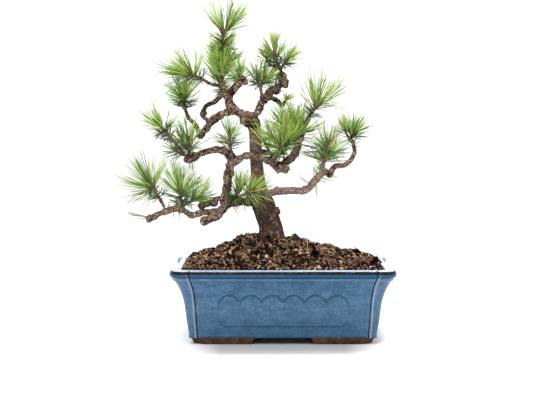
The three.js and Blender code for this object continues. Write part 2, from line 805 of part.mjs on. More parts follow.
// A twig as one closed mesh whose leafy faces are each drawn out into a needle
function buildTwig(name, spec, path, leafy, random, own) {
  const frames = twigFrames(path, leafy);
  const points = [];
  const faces = [];
  frames.forEach((frame, i) => {
    for (let j = 0; j < twigSides; j += 1) {
      const turn = 2 * Math.PI * (j + 0.5 * (i % 2)) / twigSides;
      points.push(frame.at.clone()
        .addScaledVector(frame.side, frame.radius * Math.cos(turn))
        .addScaledVector(frame.up, frame.radius * Math.sin(turn)));
    }
  });
  for (let i = 0; i < frames.length - 1; i += 1) {
    const odd = i % 2;
    for (let j = 0; j < twigSides; j += 1) {
      const a = i * twigSides + j;
      const b = i * twigSides + (j + 1) % twigSides;
      const c = b + twigSides;
      const d = a + twigSides;
      const pair = odd ? [[a, b, c], [a, c, d]] : [[a, b, d], [b, c, d]];
      const frame = frames[i].share >= 0 ? frames[i] : null;
      pair.forEach((corners) => faces.push({ corners, frame }));
    }
  }
  const last = frames[frames.length - 1];
  const end = points.length;
  points.push(frames[0].at.clone(), last.at.clone().addScaledVector(last.along, last.radius * 0.8));
  for (let j = 0; j < twigSides; j += 1) {
    const next = (j + 1) % twigSides;
    const top = (frames.length - 1) * twigSides;
    faces.push({ corners: [end, next, j], frame: null });
    faces.push({ corners: [end + 1, top + j, top + next], frame: leafy > 0 ? last : null });
  }

  noteSegments(name, frames, 0.1);
  const triangles = [];
  for (const { corners, frame } of faces) {
    const root = new THREE.Vector3();
    corners.forEach((k) => root.addScaledVector(points[k], 1 / 3));
    const drawn = frame && random() < spec.fill;
    const tip = drawn ? needleTip(name, spec, root, frame, random, own) : null;
    if (tip) {
      const [a, b, c] = corners;
      const k = points.push(tip) - 1;
      triangles.push(a, b, k, b, c, k, c, a, k);
    } else {
      triangles.push(...corners);
    }
  }
  return toSolid(points.flatMap((point) => point.toArray()), triangles);
}

// Where a needle from `root` ends, or nothing if it has no room
function needleTip(name, spec, root, frame, random, own) {
  const outward = root.clone().sub(frame.at);
  outward.addScaledVector(frame.along, -outward.dot(frame.along)).normalize();
  const openness = THREE.MathUtils.lerp(spec.open[1], spec.open[0], frame.share);
  const open = THREE.MathUtils.degToRad(openness * (0.93 + 0.14 * random()));
  const sweep = (random() - 0.5) * 0.3;
  const way = frame.along.clone().multiplyScalar(Math.cos(open))
    .addScaledVector(outward, Math.sin(open))
    .addScaledVector(frame.along.clone().cross(outward), Math.sin(open) * sweep);
  way.z += 0.06;
  way.normalize();
  if (spec.facing && way.angleTo(toVector(spec.facing)) > THREE.MathUtils.degToRad(spec.spread)) {
    return null;
  }
  const tip = root.clone().addScaledVector(way, needleLength * spec.size * (0.84 + 0.2 * random()));
  const clearOfBud = root.clone().addScaledVector(way, 5);
  if (tip.z < lowestTip || !keepsToSpace(name, tip) || !isFree(clearOfBud, tip, own)) {
    return null;
  }
  if (!isClear(name, root.clone().addScaledVector(way, 1), tip, needleRadius)) {
    return null;
  }
  own.push({ a: clearOfBud, b: tip });
  return tip;
}

function buildMass(name, spec, number, grownLimbs) {
  const random = makeRandom(seeds.masses + number);
  const own = [];
  let solid = buildTwig(name, spec, spec.stem, spec.leafy, random, own);
  const ends = spec.stem.slice(-2).map(toVector);
  const along = ends[1].clone().sub(ends[0]).normalize();
  for (let k = 0; k < (spec.shoots ?? 0); k += 1) {
    const start = ends[1].clone().addScaledVector(along, -spec.leafy - 1.5);
    const across = new THREE.Vector3(random() - 0.5, random() - 0.5, random() - 0.5);
    across.addScaledVector(along, -across.dot(along)).normalize();
    const end = start.clone().addScaledVector(along, 13).addScaledVector(across, 13);
    const bend = start.clone().addScaledVector(along, 4).addScaledVector(across, 7);
    if (isClear(name, bend, end, budRadius)) {
      const path = [start.toArray(), bend.toArray(), end.toArray()];
      solid = solid.add(buildTwig(name, spec, path, 9, random, own));
    }
  }
  for (const { a, b } of own) {
    segments.push({ owner: name, a, b, radius: needleRadius });
  }
  for (const cut of grownLimbs) {
    solid = solid.subtract(cut);
  }
  return solid;
}

const group = new THREE.Group();
const trunkBase = toVector(trunkPath[0]);

group.add(toMesh('pot', buildPot(), finishes.glaze, true));
group.add(toMesh('soil', buildSoil(trunkBase), finishes.soil, true));
group.add(toMesh('trunk', buildTrunk(0), finishes.trunk, false));
noteSegments('trunk', trunkFrames(), 0.6);

const grown = { trunk: buildTrunk(clearance) };
Object.entries(boughs).forEach(([name, spec], number) => {
  const taper = (share) => THREE.MathUtils.lerp(spec.ends[0], spec.ends[1], share);
  const frames = framePath(spec.path, taper, 7);
  let solid = limb(frames, boughSides, 0, 0.16, seeds.boughs + number);
  for (const other of Object.values(grown)) {
    solid = solid.subtract(other);
  }
  group.add(toMesh(name, solid, finishes.bough, false));
  grown[name] = limb(frames, boughSides, clearance, 0.16, seeds.boughs + number);
  noteSegments(name, frames, 0.3);
});

for (const [name, spec] of Object.entries(masses)) {
  centres[name] = toVector(spec.stem[spec.stem.length - 1]);
}
Object.entries(masses).forEach(([name, spec], number) => {
  const solid = buildMass(name, spec, number, Object.values(grown));
  group.add(toMesh(name, solid, finishes.needle, true));
});

// The origin goes to the middle of the whole plan, on the table
const box = new THREE.Box3().setFromObject(group);
const middle = box.getCenter(new THREE.Vector3());
for (const mesh of group.children) {
  mesh.geometry.translate(-middle.x, -middle.y, 0);
}

export default group;
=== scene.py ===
import math
import random

import bmesh
import bpy
import numpy as np
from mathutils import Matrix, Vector, noise


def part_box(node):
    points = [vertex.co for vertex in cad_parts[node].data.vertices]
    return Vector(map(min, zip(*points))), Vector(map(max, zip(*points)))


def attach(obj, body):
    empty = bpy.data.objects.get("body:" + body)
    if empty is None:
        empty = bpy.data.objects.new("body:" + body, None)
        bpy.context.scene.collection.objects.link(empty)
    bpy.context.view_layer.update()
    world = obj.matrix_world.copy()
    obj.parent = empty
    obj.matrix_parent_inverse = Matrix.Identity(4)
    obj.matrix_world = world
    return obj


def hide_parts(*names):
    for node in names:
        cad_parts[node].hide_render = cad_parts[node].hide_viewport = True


# Mugo pine bonsai in a glazed pot. Sizes are millimetres about the middle of the pot, on the
# table, and toFrame turns them into the frame's metres.
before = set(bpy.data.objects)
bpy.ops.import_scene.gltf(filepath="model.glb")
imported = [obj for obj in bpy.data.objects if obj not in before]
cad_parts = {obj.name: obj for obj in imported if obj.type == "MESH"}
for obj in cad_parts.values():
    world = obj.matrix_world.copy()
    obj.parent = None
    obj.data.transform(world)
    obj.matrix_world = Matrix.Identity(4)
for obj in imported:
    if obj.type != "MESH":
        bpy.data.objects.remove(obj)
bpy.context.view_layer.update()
potLow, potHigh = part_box("pot")
potMiddle = np.array([(potLow.x + potHigh.x) / 2, (potLow.y + potHigh.y) / 2, 0])
potHeight = potHigh.z * 1000


def toFrame(points):
    return np.asarray(points, float).reshape(-1, 3) / 1000 + potMiddle


def fromFrame(points):
    return (np.asarray(points, float).reshape(-1, 3) - potMiddle) * 1000


def unit(vector):
    return vector / np.linalg.norm(vector)


def anyWay(rng):
    return np.array([rng.gauss(0, 1) for _ in range(3)])


# Meshes and node trees

def linked(name, data):
    item = bpy.data.objects.new(name, data)
    bpy.context.scene.collection.objects.link(item)
    return item


def metreObject(name, places, faces, attributes=None, smooth=True):
    # In the frame's metres, where meshObject takes millimetres about the pot
    mesh = bpy.data.meshes.new(name)
    mesh.from_pydata(np.asarray(places).tolist(), [], faces)
    mesh.polygons.foreach_set("use_smooth", [smooth] * len(mesh.polygons))
    for key, values in (attributes or {}).items():
        setAttribute(mesh, key, values)
    mesh.update()
    return linked(name, mesh)


def meshObject(name, points, faces, attributes=None, smooth=True):
    return metreObject(name, toFrame(points), faces, attributes, smooth)


def setAttribute(mesh, key, values):
    values = np.asarray(values, np.float32)
    kind, field = ("FLOAT_VECTOR", "vector") if values.ndim == 2 else ("FLOAT", "value")
    mesh.attributes.new(key, kind, "POINT").data.foreach_set(field, values.ravel())


def vertexPlaces(mesh):
    places = np.empty(len(mesh.vertices) * 3, np.float32)
    mesh.vertices.foreach_get("co", places)
    return fromFrame(places)


def setInputs(tree, node, inputs):
    for key, value in inputs.items():
        if isinstance(value, bpy.types.NodeSocket):
            tree.links.new(value, node.inputs[key])
        else:
            node.inputs[key].default_value = value


def addNode(tree, kind, inputs=None, **settings):
    node = tree.nodes.new(kind)
    for key, value in settings.items():
        setattr(node, key, value)
    setInputs(tree, node, inputs or {})
    return node


def geometryTree(name, inputs):
    tree = bpy.data.node_groups.new(name, "GeometryNodeTree")
    tree.interface.new_socket("Geometry", in_out="INPUT", socket_type="NodeSocketGeometry")
    for key, kind in inputs.items():
        tree.interface.new_socket(key, in_out="INPUT", socket_type="NodeSocket" + kind)
    tree.interface.new_socket("Geometry", in_out="OUTPUT", socket_type="NodeSocketGeometry")
    return tree, tree.nodes.new("NodeGroupInput").outputs


def finishTree(tree, geometry, material):
    realized = addNode(tree, "GeometryNodeRealizeInstances", {"Geometry": geometry})
    painted = addNode(tree, "GeometryNodeSetMaterial",
                      {"Geometry": realized.outputs[0], "Material": material})
    addNode(tree, "NodeGroupOutput", {"Geometry": painted.outputs[0]})


def fuse(item, voxel):
    modifier = item.modifiers.new("fuse", "REMESH")
    modifier.mode = "VOXEL"
    modifier.voxel_size = voxel / 1000
    modifier.use_smooth_shade = True


def bake(item):
    scene = bpy.context.evaluated_depsgraph_get()
    made = bpy.data.meshes.new_from_object(
        item.evaluated_get(scene), preserve_all_data_layers=True, depsgraph=scene)
    item.modifiers.clear()
    item.data = made
    made.name = item.name
    return item


def runTree(item, tree, **values):
    modifier = item.modifiers.new("make", "NODES")
    modifier.node_group = tree
    for socket in tree.interface.items_tree:
        key = socket.name.replace(" ", "")
        key = key[0].lower() + key[1:]
        if socket.in_out == "INPUT" and key in values:
            modifier[socket.identifier] = values[key]
    return bake(item)


def named(tree, key, kind="FLOAT"):
    return addNode(tree, "GeometryNodeInputNamedAttribute", {"Name": key}, data_type=kind).outputs[0]


def sums(tree, operation, a, b=0.0, clamp=False):
    return addNode(tree, "ShaderNodeMath", {0: a, 1: b}, operation=operation, use_clamp=clamp).outputs[0]


def weighed(tree, a, shareA, b, shareB):
    return sums(tree, "ADD", sums(tree, "MULTIPLY", a, shareA), sums(tree, "MULTIPLY", b, shareB))


def rising(tree, value, start, gain, clamp=False):
    # (value - start) * gain
    return sums(tree, "MULTIPLY", sums(tree, "SUBTRACT", value, start), gain, clamp)


def falling(tree, value, gain, top=1.0):
    # top - value * gain, kept between 0 and 1
    return sums(tree, "SUBTRACT", top, sums(tree, "MULTIPLY", value, gain), True)


def vectors(tree, operation, a, b, c=(0, 0, 0)):
    return addNode(tree, "ShaderNodeVectorMath", {0: a, 1: b, 2: c}, operation=operation).outputs[0]


def stretched(tree, vector, share):
    return addNode(tree, "ShaderNodeVectorMath", {0: vector, "Scale": share}, operation="SCALE").outputs[0]


def apart(tree, vector):
    return addNode(tree, "ShaderNodeSeparateXYZ", {0: vector}).outputs


def together(tree, x, y, z):
    return addNode(tree, "ShaderNodeCombineXYZ", {0: x, 1: y, 2: z}).outputs[0]


def noiseAt(tree, place, scale, detail, roughness=0.5):
    return addNode(tree, "ShaderNodeTexNoise", {
        "Vector": place, "Scale": scale, "Detail": detail, "Roughness": roughness}).outputs


def moved(tree, geometry, offset):
    return addNode(tree, "GeometryNodeSetPosition", {"Geometry": geometry, "Offset": offset}).outputs[0]


def stored(tree, geometry, key, value):
    return addNode(tree, "GeometryNodeStoreNamedAttribute", {
        "Geometry": geometry, "Name": key, "Value": value}, data_type="FLOAT", domain="POINT").outputs[0]


def turnedBy(tree, rotation, axis, angle):
    turn = addNode(tree, "FunctionNodeAxisAngleToRotation", {"Axis": axis, "Angle": angle}).outputs[0]
    return addNode(tree, "FunctionNodeRotateRotation", {"Rotation": rotation, "Rotate By": turn},
                   rotation_space="LOCAL").outputs[0]


def instances(tree, points, item, rotation, scale):
    shape = addNode(tree, "GeometryNodeObjectInfo", {"Object": item}).outputs["Geometry"]
    placed = addNode(tree, "GeometryNodeInstanceOnPoints", {
        "Points": points, "Instance": shape, "Rotation": rotation, "Scale": scale}).outputs[0]
    return addNode(tree, "GeometryNodeRealizeInstances", {"Geometry": placed}).outputs[0]


def ride(item, nodeNames):
    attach(item, "root")
    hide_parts(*nodeNames)
    return item


# Finishes

def newMaterial(name):
    material = bpy.data.materials.new(name)
    material.use_nodes = True
    shader = material.node_tree.nodes["Principled BSDF"]
    return material, material.node_tree, shader


def ramp(tree, factor, stops):
    node = addNode(tree, "ShaderNodeValToRGB", {"Fac": factor})
    colours = node.color_ramp.elements
    while len(colours) < len(stops):
        colours.new(0.5)
    for stop, (place, colour) in zip(colours, stops):
        stop.position = place
        stop.color = (*colour, 1)
    return node.outputs["Color"]


def objectPlace(tree):
    return addNode(tree, "ShaderNodeTexCoord").outputs["Object"]


def grain(tree, scale, detail, roughness, stretch=(1, 1, 1)):
    place = addNode(tree, "ShaderNodeMapping", {"Vector": objectPlace(tree), "Scale": stretch}).outputs[0]
    return noiseAt(tree, place, scale, detail, roughness)["Fac"]


def opaque(colour):
    return (*colour, 1) if isinstance(colour, tuple) else colour


def blend(tree, share, a, b, mode="MIX"):
    return addNode(tree, "ShaderNodeMix", {0: share, 6: opaque(a), 7: opaque(b)},
                   data_type="RGBA", blend_type=mode).outputs[2]


def bump(tree, shader, height, strength, distance):
    node = addNode(tree, "ShaderNodeBump",
                   {"Height": height, "Strength": strength, "Distance": distance})
    tree.links.new(node.outputs[0], shader.inputs["Normal"])


def attribute(tree, key):
    return addNode(tree, "ShaderNodeAttribute", attribute_name=key).outputs["Fac"]


glazeFinish = {
    "deep": (0.028, 0.070, 0.120),
    "blue": (0.044, 0.112, 0.205),
    "light": (0.096, 0.178, 0.284),
    # Colours of the painted shade on the lip face and relief line, and of the painted highlights
    "lip": (0.004, 0.042, 0.094),
    "pale": (0.640, 0.720, 0.820),
    "iron": (0.005, 0.004, 0.007),
    "roughness": 0.15, "specular": 0.13, "coat": 0.1,
    "fineGrain": 420, "cloudGrain": 60, "brokenGrain": 150, "bumpGrain": 240,
}


def makeGlaze(finish):
    material, tree, shader = newMaterial("mottledBlueGlaze")
    fine = grain(tree, finish["fineGrain"], 4, 0.72, (1, 1, 1.3))
    cloud = grain(tree, finish["cloudGrain"], 3, 0.55, (1, 1, 1.8))
    colour = ramp(tree, weighed(tree, fine, 0.66, cloud, 0.34), [
        (0.38, finish["deep"]), (0.5, finish["blue"]), (0.64, finish["light"])])
    # Darker towards the foot
    low = falling(tree, apart(tree, objectPlace(tree))[2], 10.0, 0.6)
    # The glaze runs thin over edges, and the iron in the clay shows through in places
    spots = grain(tree, finish["brokenGrain"], 5, 0.7)
    broken = ramp(tree, spots, [(0.4, (0, 0, 0)), (0.54, (1, 1, 1))])
    thin = sums(tree, "MULTIPLY", attribute(tree, "thin"), sums(tree, "ADD", broken, 0.5))
    edge = sums(tree, "MINIMUM", thin, 1.0)
    # Over that: the darker foot, the painted shade, the painted highlights (partly glaze breaking pale) and
    # the iron
    for share, key in ((low, "deep"), (attribute(tree, "deep"), "lip"),
                       (attribute(tree, "pale"), "pale"), (edge, "iron")):
        colour = blend(tree, share, colour, finish[key])
    setInputs(tree, shader, {
        "Base Color": colour, "Roughness": finish["roughness"], "Specular IOR Level": finish["specular"],
        "Coat Weight": finish["coat"], "Coat Roughness": 0.05})
    bump(tree, shader, grain(tree, finish["bumpGrain"], 2, 0.5), 0.12, 0.0006)
    return material


# Dark, middle and pale colour, grain, roughness, and the bump's grain and strength
plainFinishes = {
    "bareClay": ((0.035, 0.018, 0.014), (0.075, 0.04, 0.032), (0.12, 0.068, 0.055), 120, 0.82, 900, 0.5),
    # Near-black earth: partly dark soil, partly painted shade for the gaps between the bits
    "dampEarth": ((0.002, 0.001, 0.0007), (0.008, 0.004, 0.003), (0.03, 0.016, 0.011), 260, 0.95, 700, 0.8),
    "mossyEarth": ((0.004, 0.003, 0.002), (0.035, 0.028, 0.018), (0.17, 0.15, 0.09), 420, 0.95, 900, 1),
    "needleSheath": ((0.10, 0.07, 0.045), (0.20, 0.14, 0.09), (0.30, 0.22, 0.14), 600, 0.8, 2000, 0.5),
    "buds": ((0.10, 0.030, 0.018), (0.20, 0.070, 0.040), (0.36, 0.17, 0.10), 700, 0.7, 2000, 0.5),
    "rootFibres": ((0.06, 0.03, 0.018), (0.20, 0.115, 0.065), (0.34, 0.22, 0.14), 90, 0.85, 900, 0.5),
}


def makePlain(name, dark, mid, pale, scale, roughness, bumpScale, bumpStrength):
    material, tree, shader = newMaterial(name)
    colour = ramp(tree, grain(tree, scale, 6, 0.65), [(0.32, dark), (0.5, mid), (0.68, pale)])
    setInputs(tree, shader, {"Base Color": colour, "Roughness": roughness, "Specular IOR Level": 0.1})
    bump(tree, shader, grain(tree, bumpScale, 5, 0.65), bumpStrength, 0.0008)
    return material


barkFinish = {
    # From crevice to pale by relief height: partly the bark's own colour, partly painted shade and
    # highlight
    "crevice": (0.012, 0.006, 0.005),
    "brown": (0.088, 0.052, 0.039),
    "tan": (0.288, 0.196, 0.153),
    "pale": (0.660, 0.530, 0.435),
    "bareBough": (0.350, 0.255, 0.212),
    "bareTrunk": (0.178, 0.112, 0.080),
    "oldTrunk": (0.060, 0.035, 0.026),
    "roughness": 0.86, "specular": 0.1,
    "fineGrain": 760, "patchGrain": 90, "streakGrain": 620, "bumpGrain": 1200,
}


def makeBark(name, finish):
    material, tree, shader = newMaterial(name)
    fine = rising(tree, grain(tree, finish["fineGrain"], 4, 0.7), 0.5, 0.95)
    relief = sums(tree, "ADD", attribute(tree, "relief"), fine)
    # Some stretches are paler than others
    patches = rising(tree, grain(tree, finish["patchGrain"], 3, 0.6), 0.5, 0.7)
    # Near-black in the crevices, partly painted shade, and pale on the raised scales, partly painted
    # highlight
    colour = ramp(tree, sums(tree, "ADD", relief, patches), [
        (0.35, finish["crevice"]), (0.485, finish["brown"]), (0.68, finish["tan"]), (0.88, finish["pale"])])
    bare = sums(tree, "MULTIPLY", attribute(tree, "weathered"),
                ramp(tree, relief, [(0.25, (0.1, 0.1, 0.1)), (0.5, (1, 1, 1))]))
    streaks = ramp(tree, grain(tree, finish["streakGrain"], 4, 0.75, (0.4, 0.4, 1.1)), [
        (0.39, (0.20, 0.18, 0.17)), (0.6, (1.38, 1.38, 1.38))])
    # The old trunk is a duller brown in a fine grain
    old = blend(tree, 1.0, finish["oldTrunk"], streaks, "MULTIPLY")
    colour = blend(tree, sums(tree, "MULTIPLY", attribute(tree, "fissured"), 0.72), colour, old)
    wood = blend(tree, attribute(tree, "banded"), finish["bareBough"], finish["bareTrunk"])
    wood = blend(tree, 1.0, wood, streaks, "MULTIPLY")
    setInputs(tree, shader, {
        "Base Color": blend(tree, bare, colour, wood), "Roughness": finish["roughness"],
        "Specular IOR Level": finish["specular"]})
    bump(tree, shader, grain(tree, finish["bumpGrain"], 5, 0.7), 0.6, 0.0007)
    return material


needleShades = {
    "fresh": (0.415, 0.560, 0.100),
    "green": (0.225, 0.390, 0.062),
    "mature": (0.105, 0.200, 0.042),
    "old": (0.052, 0.090, 0.024),
    "dry": (0.410, 0.280, 0.095),
}


def makeNeedle(name, colour):
    material, tree, shader = newMaterial(name)
    setInputs(tree, shader, {"Base Color": opaque(colour), "Roughness": 0.45, "Specular IOR Level": 0.3})
    bump(tree, shader, grain(tree, 2600, 2, 0.5), 0.2, 0.0002)
    return material


glaze = makeGlaze(glazeFinish)
plain = {name: makePlain(name, *row) for name, row in plainFinishes.items()}
bark = makeBark("pineBark", barkFinish)
needleMaterials = {key: makeNeedle("needle" + key.title(), colour)
                   for key, colour in needleShades.items()}
print("finishes made:", len(bpy.data.materials))


# Curves and skins

def curvePoints(path, spacing):
    # Centripetal Catmull-Rom through the path, then even steps along it
    p = np.array(path, float)
    p = np.vstack([2 * p[0] - p[1], p, 2 * p[-1] - p[-2]])
    dense = []
    for k in range(1, len(p) - 2):
        p0, p1, p2, p3 = p[k - 1:k + 3]
        d0, d1, d2 = [np.linalg.norm(b - a) ** 0.5 for a, b in ((p0, p1), (p1, p2), (p2, p3))]
        m1 = ((p1 - p0) / d0 - (p2 - p0) / (d0 + d1) + (p2 - p1) / d1) * d1
        m2 = ((p2 - p1) / d1 - (p3 - p1) / (d1 + d2) + (p3 - p2) / d2) * d1
        t = np.linspace(0, 1, 24, endpoint=False)[:, None]
        dense.append((2 * t**3 - 3 * t**2 + 1) * p1 + (t**3 - 2 * t**2 + t) * m1
                     + (3 * t**2 - 2 * t**3) * p2 + (t**3 - t**2) * m2)
    dense = np.vstack(dense + [p[-2:-1]])
    run = np.concatenate([[0], np.cumsum(np.linalg.norm(np.diff(dense, axis=0), axis=1))])
    steps = np.linspace(0, run[-1], max(3, round(run[-1] / spacing) + 1))
    return np.column_stack([np.interp(steps, run, dense[:, k]) for k in range(3)]), steps


def framesAlong(centres):
    along = np.gradient(centres, axis=0)
    along /= np.linalg.norm(along, axis=1)[:, None]
    side = np.array([0.31, -0.87, 0.38])
    sides = []
    for way in along:
        side = side - way * side.dot(way)
        side /= np.linalg.norm(side)
        sides.append(side)
    sides = np.array(sides)
    return along, sides, np.cross(along, sides)


def framedCurve(path, spacing):
    centres, run = curvePoints(path, spacing)
    return centres, run, *framesAlong(centres)


def circle(sides):
    return np.linspace(0, 2 * math.pi, sides, endpoint=False)


def ringAt(at, side, up, reach, sides):
    turns = circle(sides)[:, None]
    return at + reach * (np.cos(turns) * side + np.sin(turns) * up)


def tube(centres, side, up, radii, sides):
    radii = np.broadcast_to(radii, len(centres))
    return [ringAt(at, s, u, reach, sides) for at, s, u, reach in zip(centres, side, up, radii)]


def roundEnd(last, centre, reach, steps):
    return [(last - centre) * scale + centre + reach * shift for shift, scale in steps]


def skin(rings):
    # Closed faces over rings of equal count that turn left about the way they advance
    rings = np.asarray(rings)
    n, m = rings.shape[:2]
    points = np.vstack([rings.reshape(-1, 3), rings[0].mean(0), rings[-1].mean(0)])
    j = np.arange(m)
    after = (j + 1) % m
    faces = []
    for i in range(n - 1):
        faces += np.column_stack([i * m + j, i * m + after, (i + 1) * m + after, (i + 1) * m + j]).tolist()
    top = (n - 1) * m
    faces += np.column_stack([np.full(m, n * m), after, j]).tolist()
    faces += np.column_stack([np.full(m, n * m + 1), top + j, top + after]).tolist()
    return points, faces


def joinParts(parts):
    points, faces, start = [], [], 0
    for somePoints, someFaces in parts:
        points.append(somePoints)
        faces += [[k + start for k in face] for face in someFaces]
        start += len(somePoints)
    return np.vstack(points), faces


def ripple(places, size, seed=0):
    return np.array([noise.noise(Vector(p) / size + Vector((seed * 7.3, seed * 3.1, 0))) for p in places])


pot = {
    "footHeight": 8, "lipHeight": 9.5,
    "panelHalfLength": 104.3, "panelHalfDepth": 78,
    "sideHalfLength": 111, "sideHalfWidth": 66,
    "cornerReach": 114.7, "notchDepth": 1.9,
    "footHalfLength": 110.5, "footHalfWidth": 77, "footChamfer": 14, "footWidth": 15,
    "footGapLong": 76, "footGapShort": 60,
    "flareHeights": [0, 13, 26, 51, 63, 73, 78, 82, 92],
    "flareReach": [0, 0, 2.4, 5.6, 9, 13.6, 17.4, 21.3, 22],
    # How much of the flare each of the plan's measures takes
    "longFlare": 0.82, "endFlare": 0.94, "panelFlare": 0.42, "sideFlare": 0.36,
    # Further in than this the plan has no lobes
    "lobedInset": 5,
    # The lip's painted highlight is strongest beyond this length, and the back lobes' inner sides lie here
    "brightFrom": 104, "flankFrom": 128, "flankBand": (66, 80),
    "reliefBottom": 23, "reliefValley": 52, "reliefRise": 8.7, "reliefWidth": 4.2, "reliefHeight": 0.5,
    # Half the length of the raised line on a long side and on an end, and its scallops
    "reliefLong": (78, 6), "reliefEnd": (50, 4),
}


def flareAt(z):
    around = z + np.linspace(-3, 3, 7)
    return np.interp(around, pot["flareHeights"], pot["flareReach"]).mean()


def potRing(outlineZ, inset, z):
    # A quarter of the plan, mirrored round: panel, notch, lobe, notch, end panel. With each point
    # goes how thin the glaze runs there, as in the notch, and how pale, as on the edge beside it,
    # partly glaze breaking pale and partly a painted highlight.
    flare = flareAt(outlineZ)
    lobed = inset < pot["lobedInset"]
    notch = pot["notchDepth"] if lobed else 0
    panelX = pot["panelHalfLength"] + pot["panelFlare"] * flare - inset * 0.5
    panelY = pot["panelHalfDepth"] + pot["longFlare"] * flare - inset
    sideX = pot["sideHalfLength"] + pot["endFlare"] * flare - inset
    sideY = pot["sideHalfWidth"] + pot["sideFlare"] * flare - inset * 0.5
    reachX = pot["cornerReach"] + flare - inset * 1.1 if lobed else sideX
    reachY = panelY + 1.2 if lobed else panelY
    startX, startY = panelX + 2.6, sideY + 2.6
    # The notch's edge; its pale is partly glaze breaking, partly painted highlight
    arris = [(-2.4, 0, 0, 0), (-1.7, 0.1, 0, 0), (-1.1, 0.45, 0.4, 0), (-0.6, 0.85, 0.95, 0),
             (-0.1, 1, 0.8, 0), (0.5, 0.8, 0.05, 0.12), (1.1, 0.3, 0, 0.42), (1.8, -0.2, 0, 0.3)]
    quarter = [(x, panelY, 0, 0) for x in np.linspace(0, panelX - 4, 15)]
    quarter += [(panelX + dx, panelY - notch * drop, thin, pale) for dx, drop, thin, pale in arris]
    for share in np.linspace(0.02, 0.98, 21):
        turn = share * math.pi / 2
        # Painted highlight, partly pale glaze, where the lobe leaves the notch
        pale = 0.2 * max(0, 1 - share / 0.028)
        # A dark line down the lobe's outer side
        thin = 0.9 * min(max(1.8 - abs(share - 0.75) / 0.055, 0), 1)
        quarter.append((startX + (reachX - startX) * math.sin(turn) ** 0.85,
                        startY + (reachY - startY) * math.cos(turn) ** 0.85, thin, pale))
    quarter += [(sideX - notch * drop, sideY + dx, thin, pale) for dx, drop, thin, pale in reversed(arris)]
    quarter += [(sideX, y, 0, 0) for y in np.linspace(sideY - 4, 0, 12)]
    quarter = np.array(quarter)
    sweep = []
    for signX, signY in ((1, -1), (1, 1), (-1, 1), (-1, -1)):
        part = quarter if signX == -signY else quarter[::-1]
        sweep.append(part[:-1] * (signX, signY, 1, 1))
    sweep = np.vstack(sweep)
    return np.column_stack([sweep[:, :2], np.full(len(sweep), z)]), sweep[:, 2], sweep[:, 3]


def reliefRidge(halfWidth, arches, facePoint):
    # A soft raised line: scalloped along its top, straight below, with a painted shade line down its middle
    bottom, valley, rise = pot["reliefBottom"], pot["reliefValley"], pot["reliefRise"]
    share = np.linspace(0, 1, arches * 14 + 1)
    lift = np.abs(np.sin(math.pi * share * arches)) ** 0.75
    line = list(zip(halfWidth * (1 - 2 * share), valley + rise * lift))
    turn = np.linspace(0, 1, 10) * math.pi / 2
    corner = [(1 - 0.12 * (1 - math.cos(t)), 0.36 * (1 - math.sin(t))) for t in turn]
    corner = [(1.01, 0.8), (1.005, 0.6), *corner]
    shown = [0.9] * len(line) + [0.2, 0.12, *np.linspace(0.12, 0.55, 10)]
    shown += [0.6] * 30 + [*np.linspace(0.55, 0.12, 10), 0.12, 0.2]
    line += [(-halfWidth * x, bottom + (valley - bottom) * s) for x, s in corner]
    line += [(halfWidth * x, bottom) for x in np.linspace(-0.85, 0.85, 30)]
    line += [(halfWidth * x, bottom + (valley - bottom) * s) for x, s in reversed(corner)]
    line = np.array(line)
    way = np.roll(line, -1, 0) - np.roll(line, 1, 0)
    way /= np.linalg.norm(way, axis=1)[:, None] + 1e-9
    across = np.column_stack([-way[:, 1], way[:, 0]]) * pot["reliefWidth"] / 2
    profile = [(-1, -0.15), (-0.6, 0.16), (-0.3, 0.72), (0, 1), (0.3, 0.72), (0.6, 0.16), (1, -0.15)]
    rings = [[facePoint(x + ax * s, z + az * s, h * pot["reliefHeight"]) for s, h in profile]
             for (x, z), (ax, az) in zip(line, across)]
    points = np.array(rings).reshape(-1, 3)
    n, m = len(rings), len(profile)
    faces = [[i * m + j, ((i + 1) % n) * m + j, ((i + 1) % n) * m + j + 1, i * m + j + 1]
             for i in range(n) for j in range(m - 1)]
    return points, faces, np.outer(shown, [0, 0.6, 1, 0.8, 0.4, 0.1, 0]).ravel()


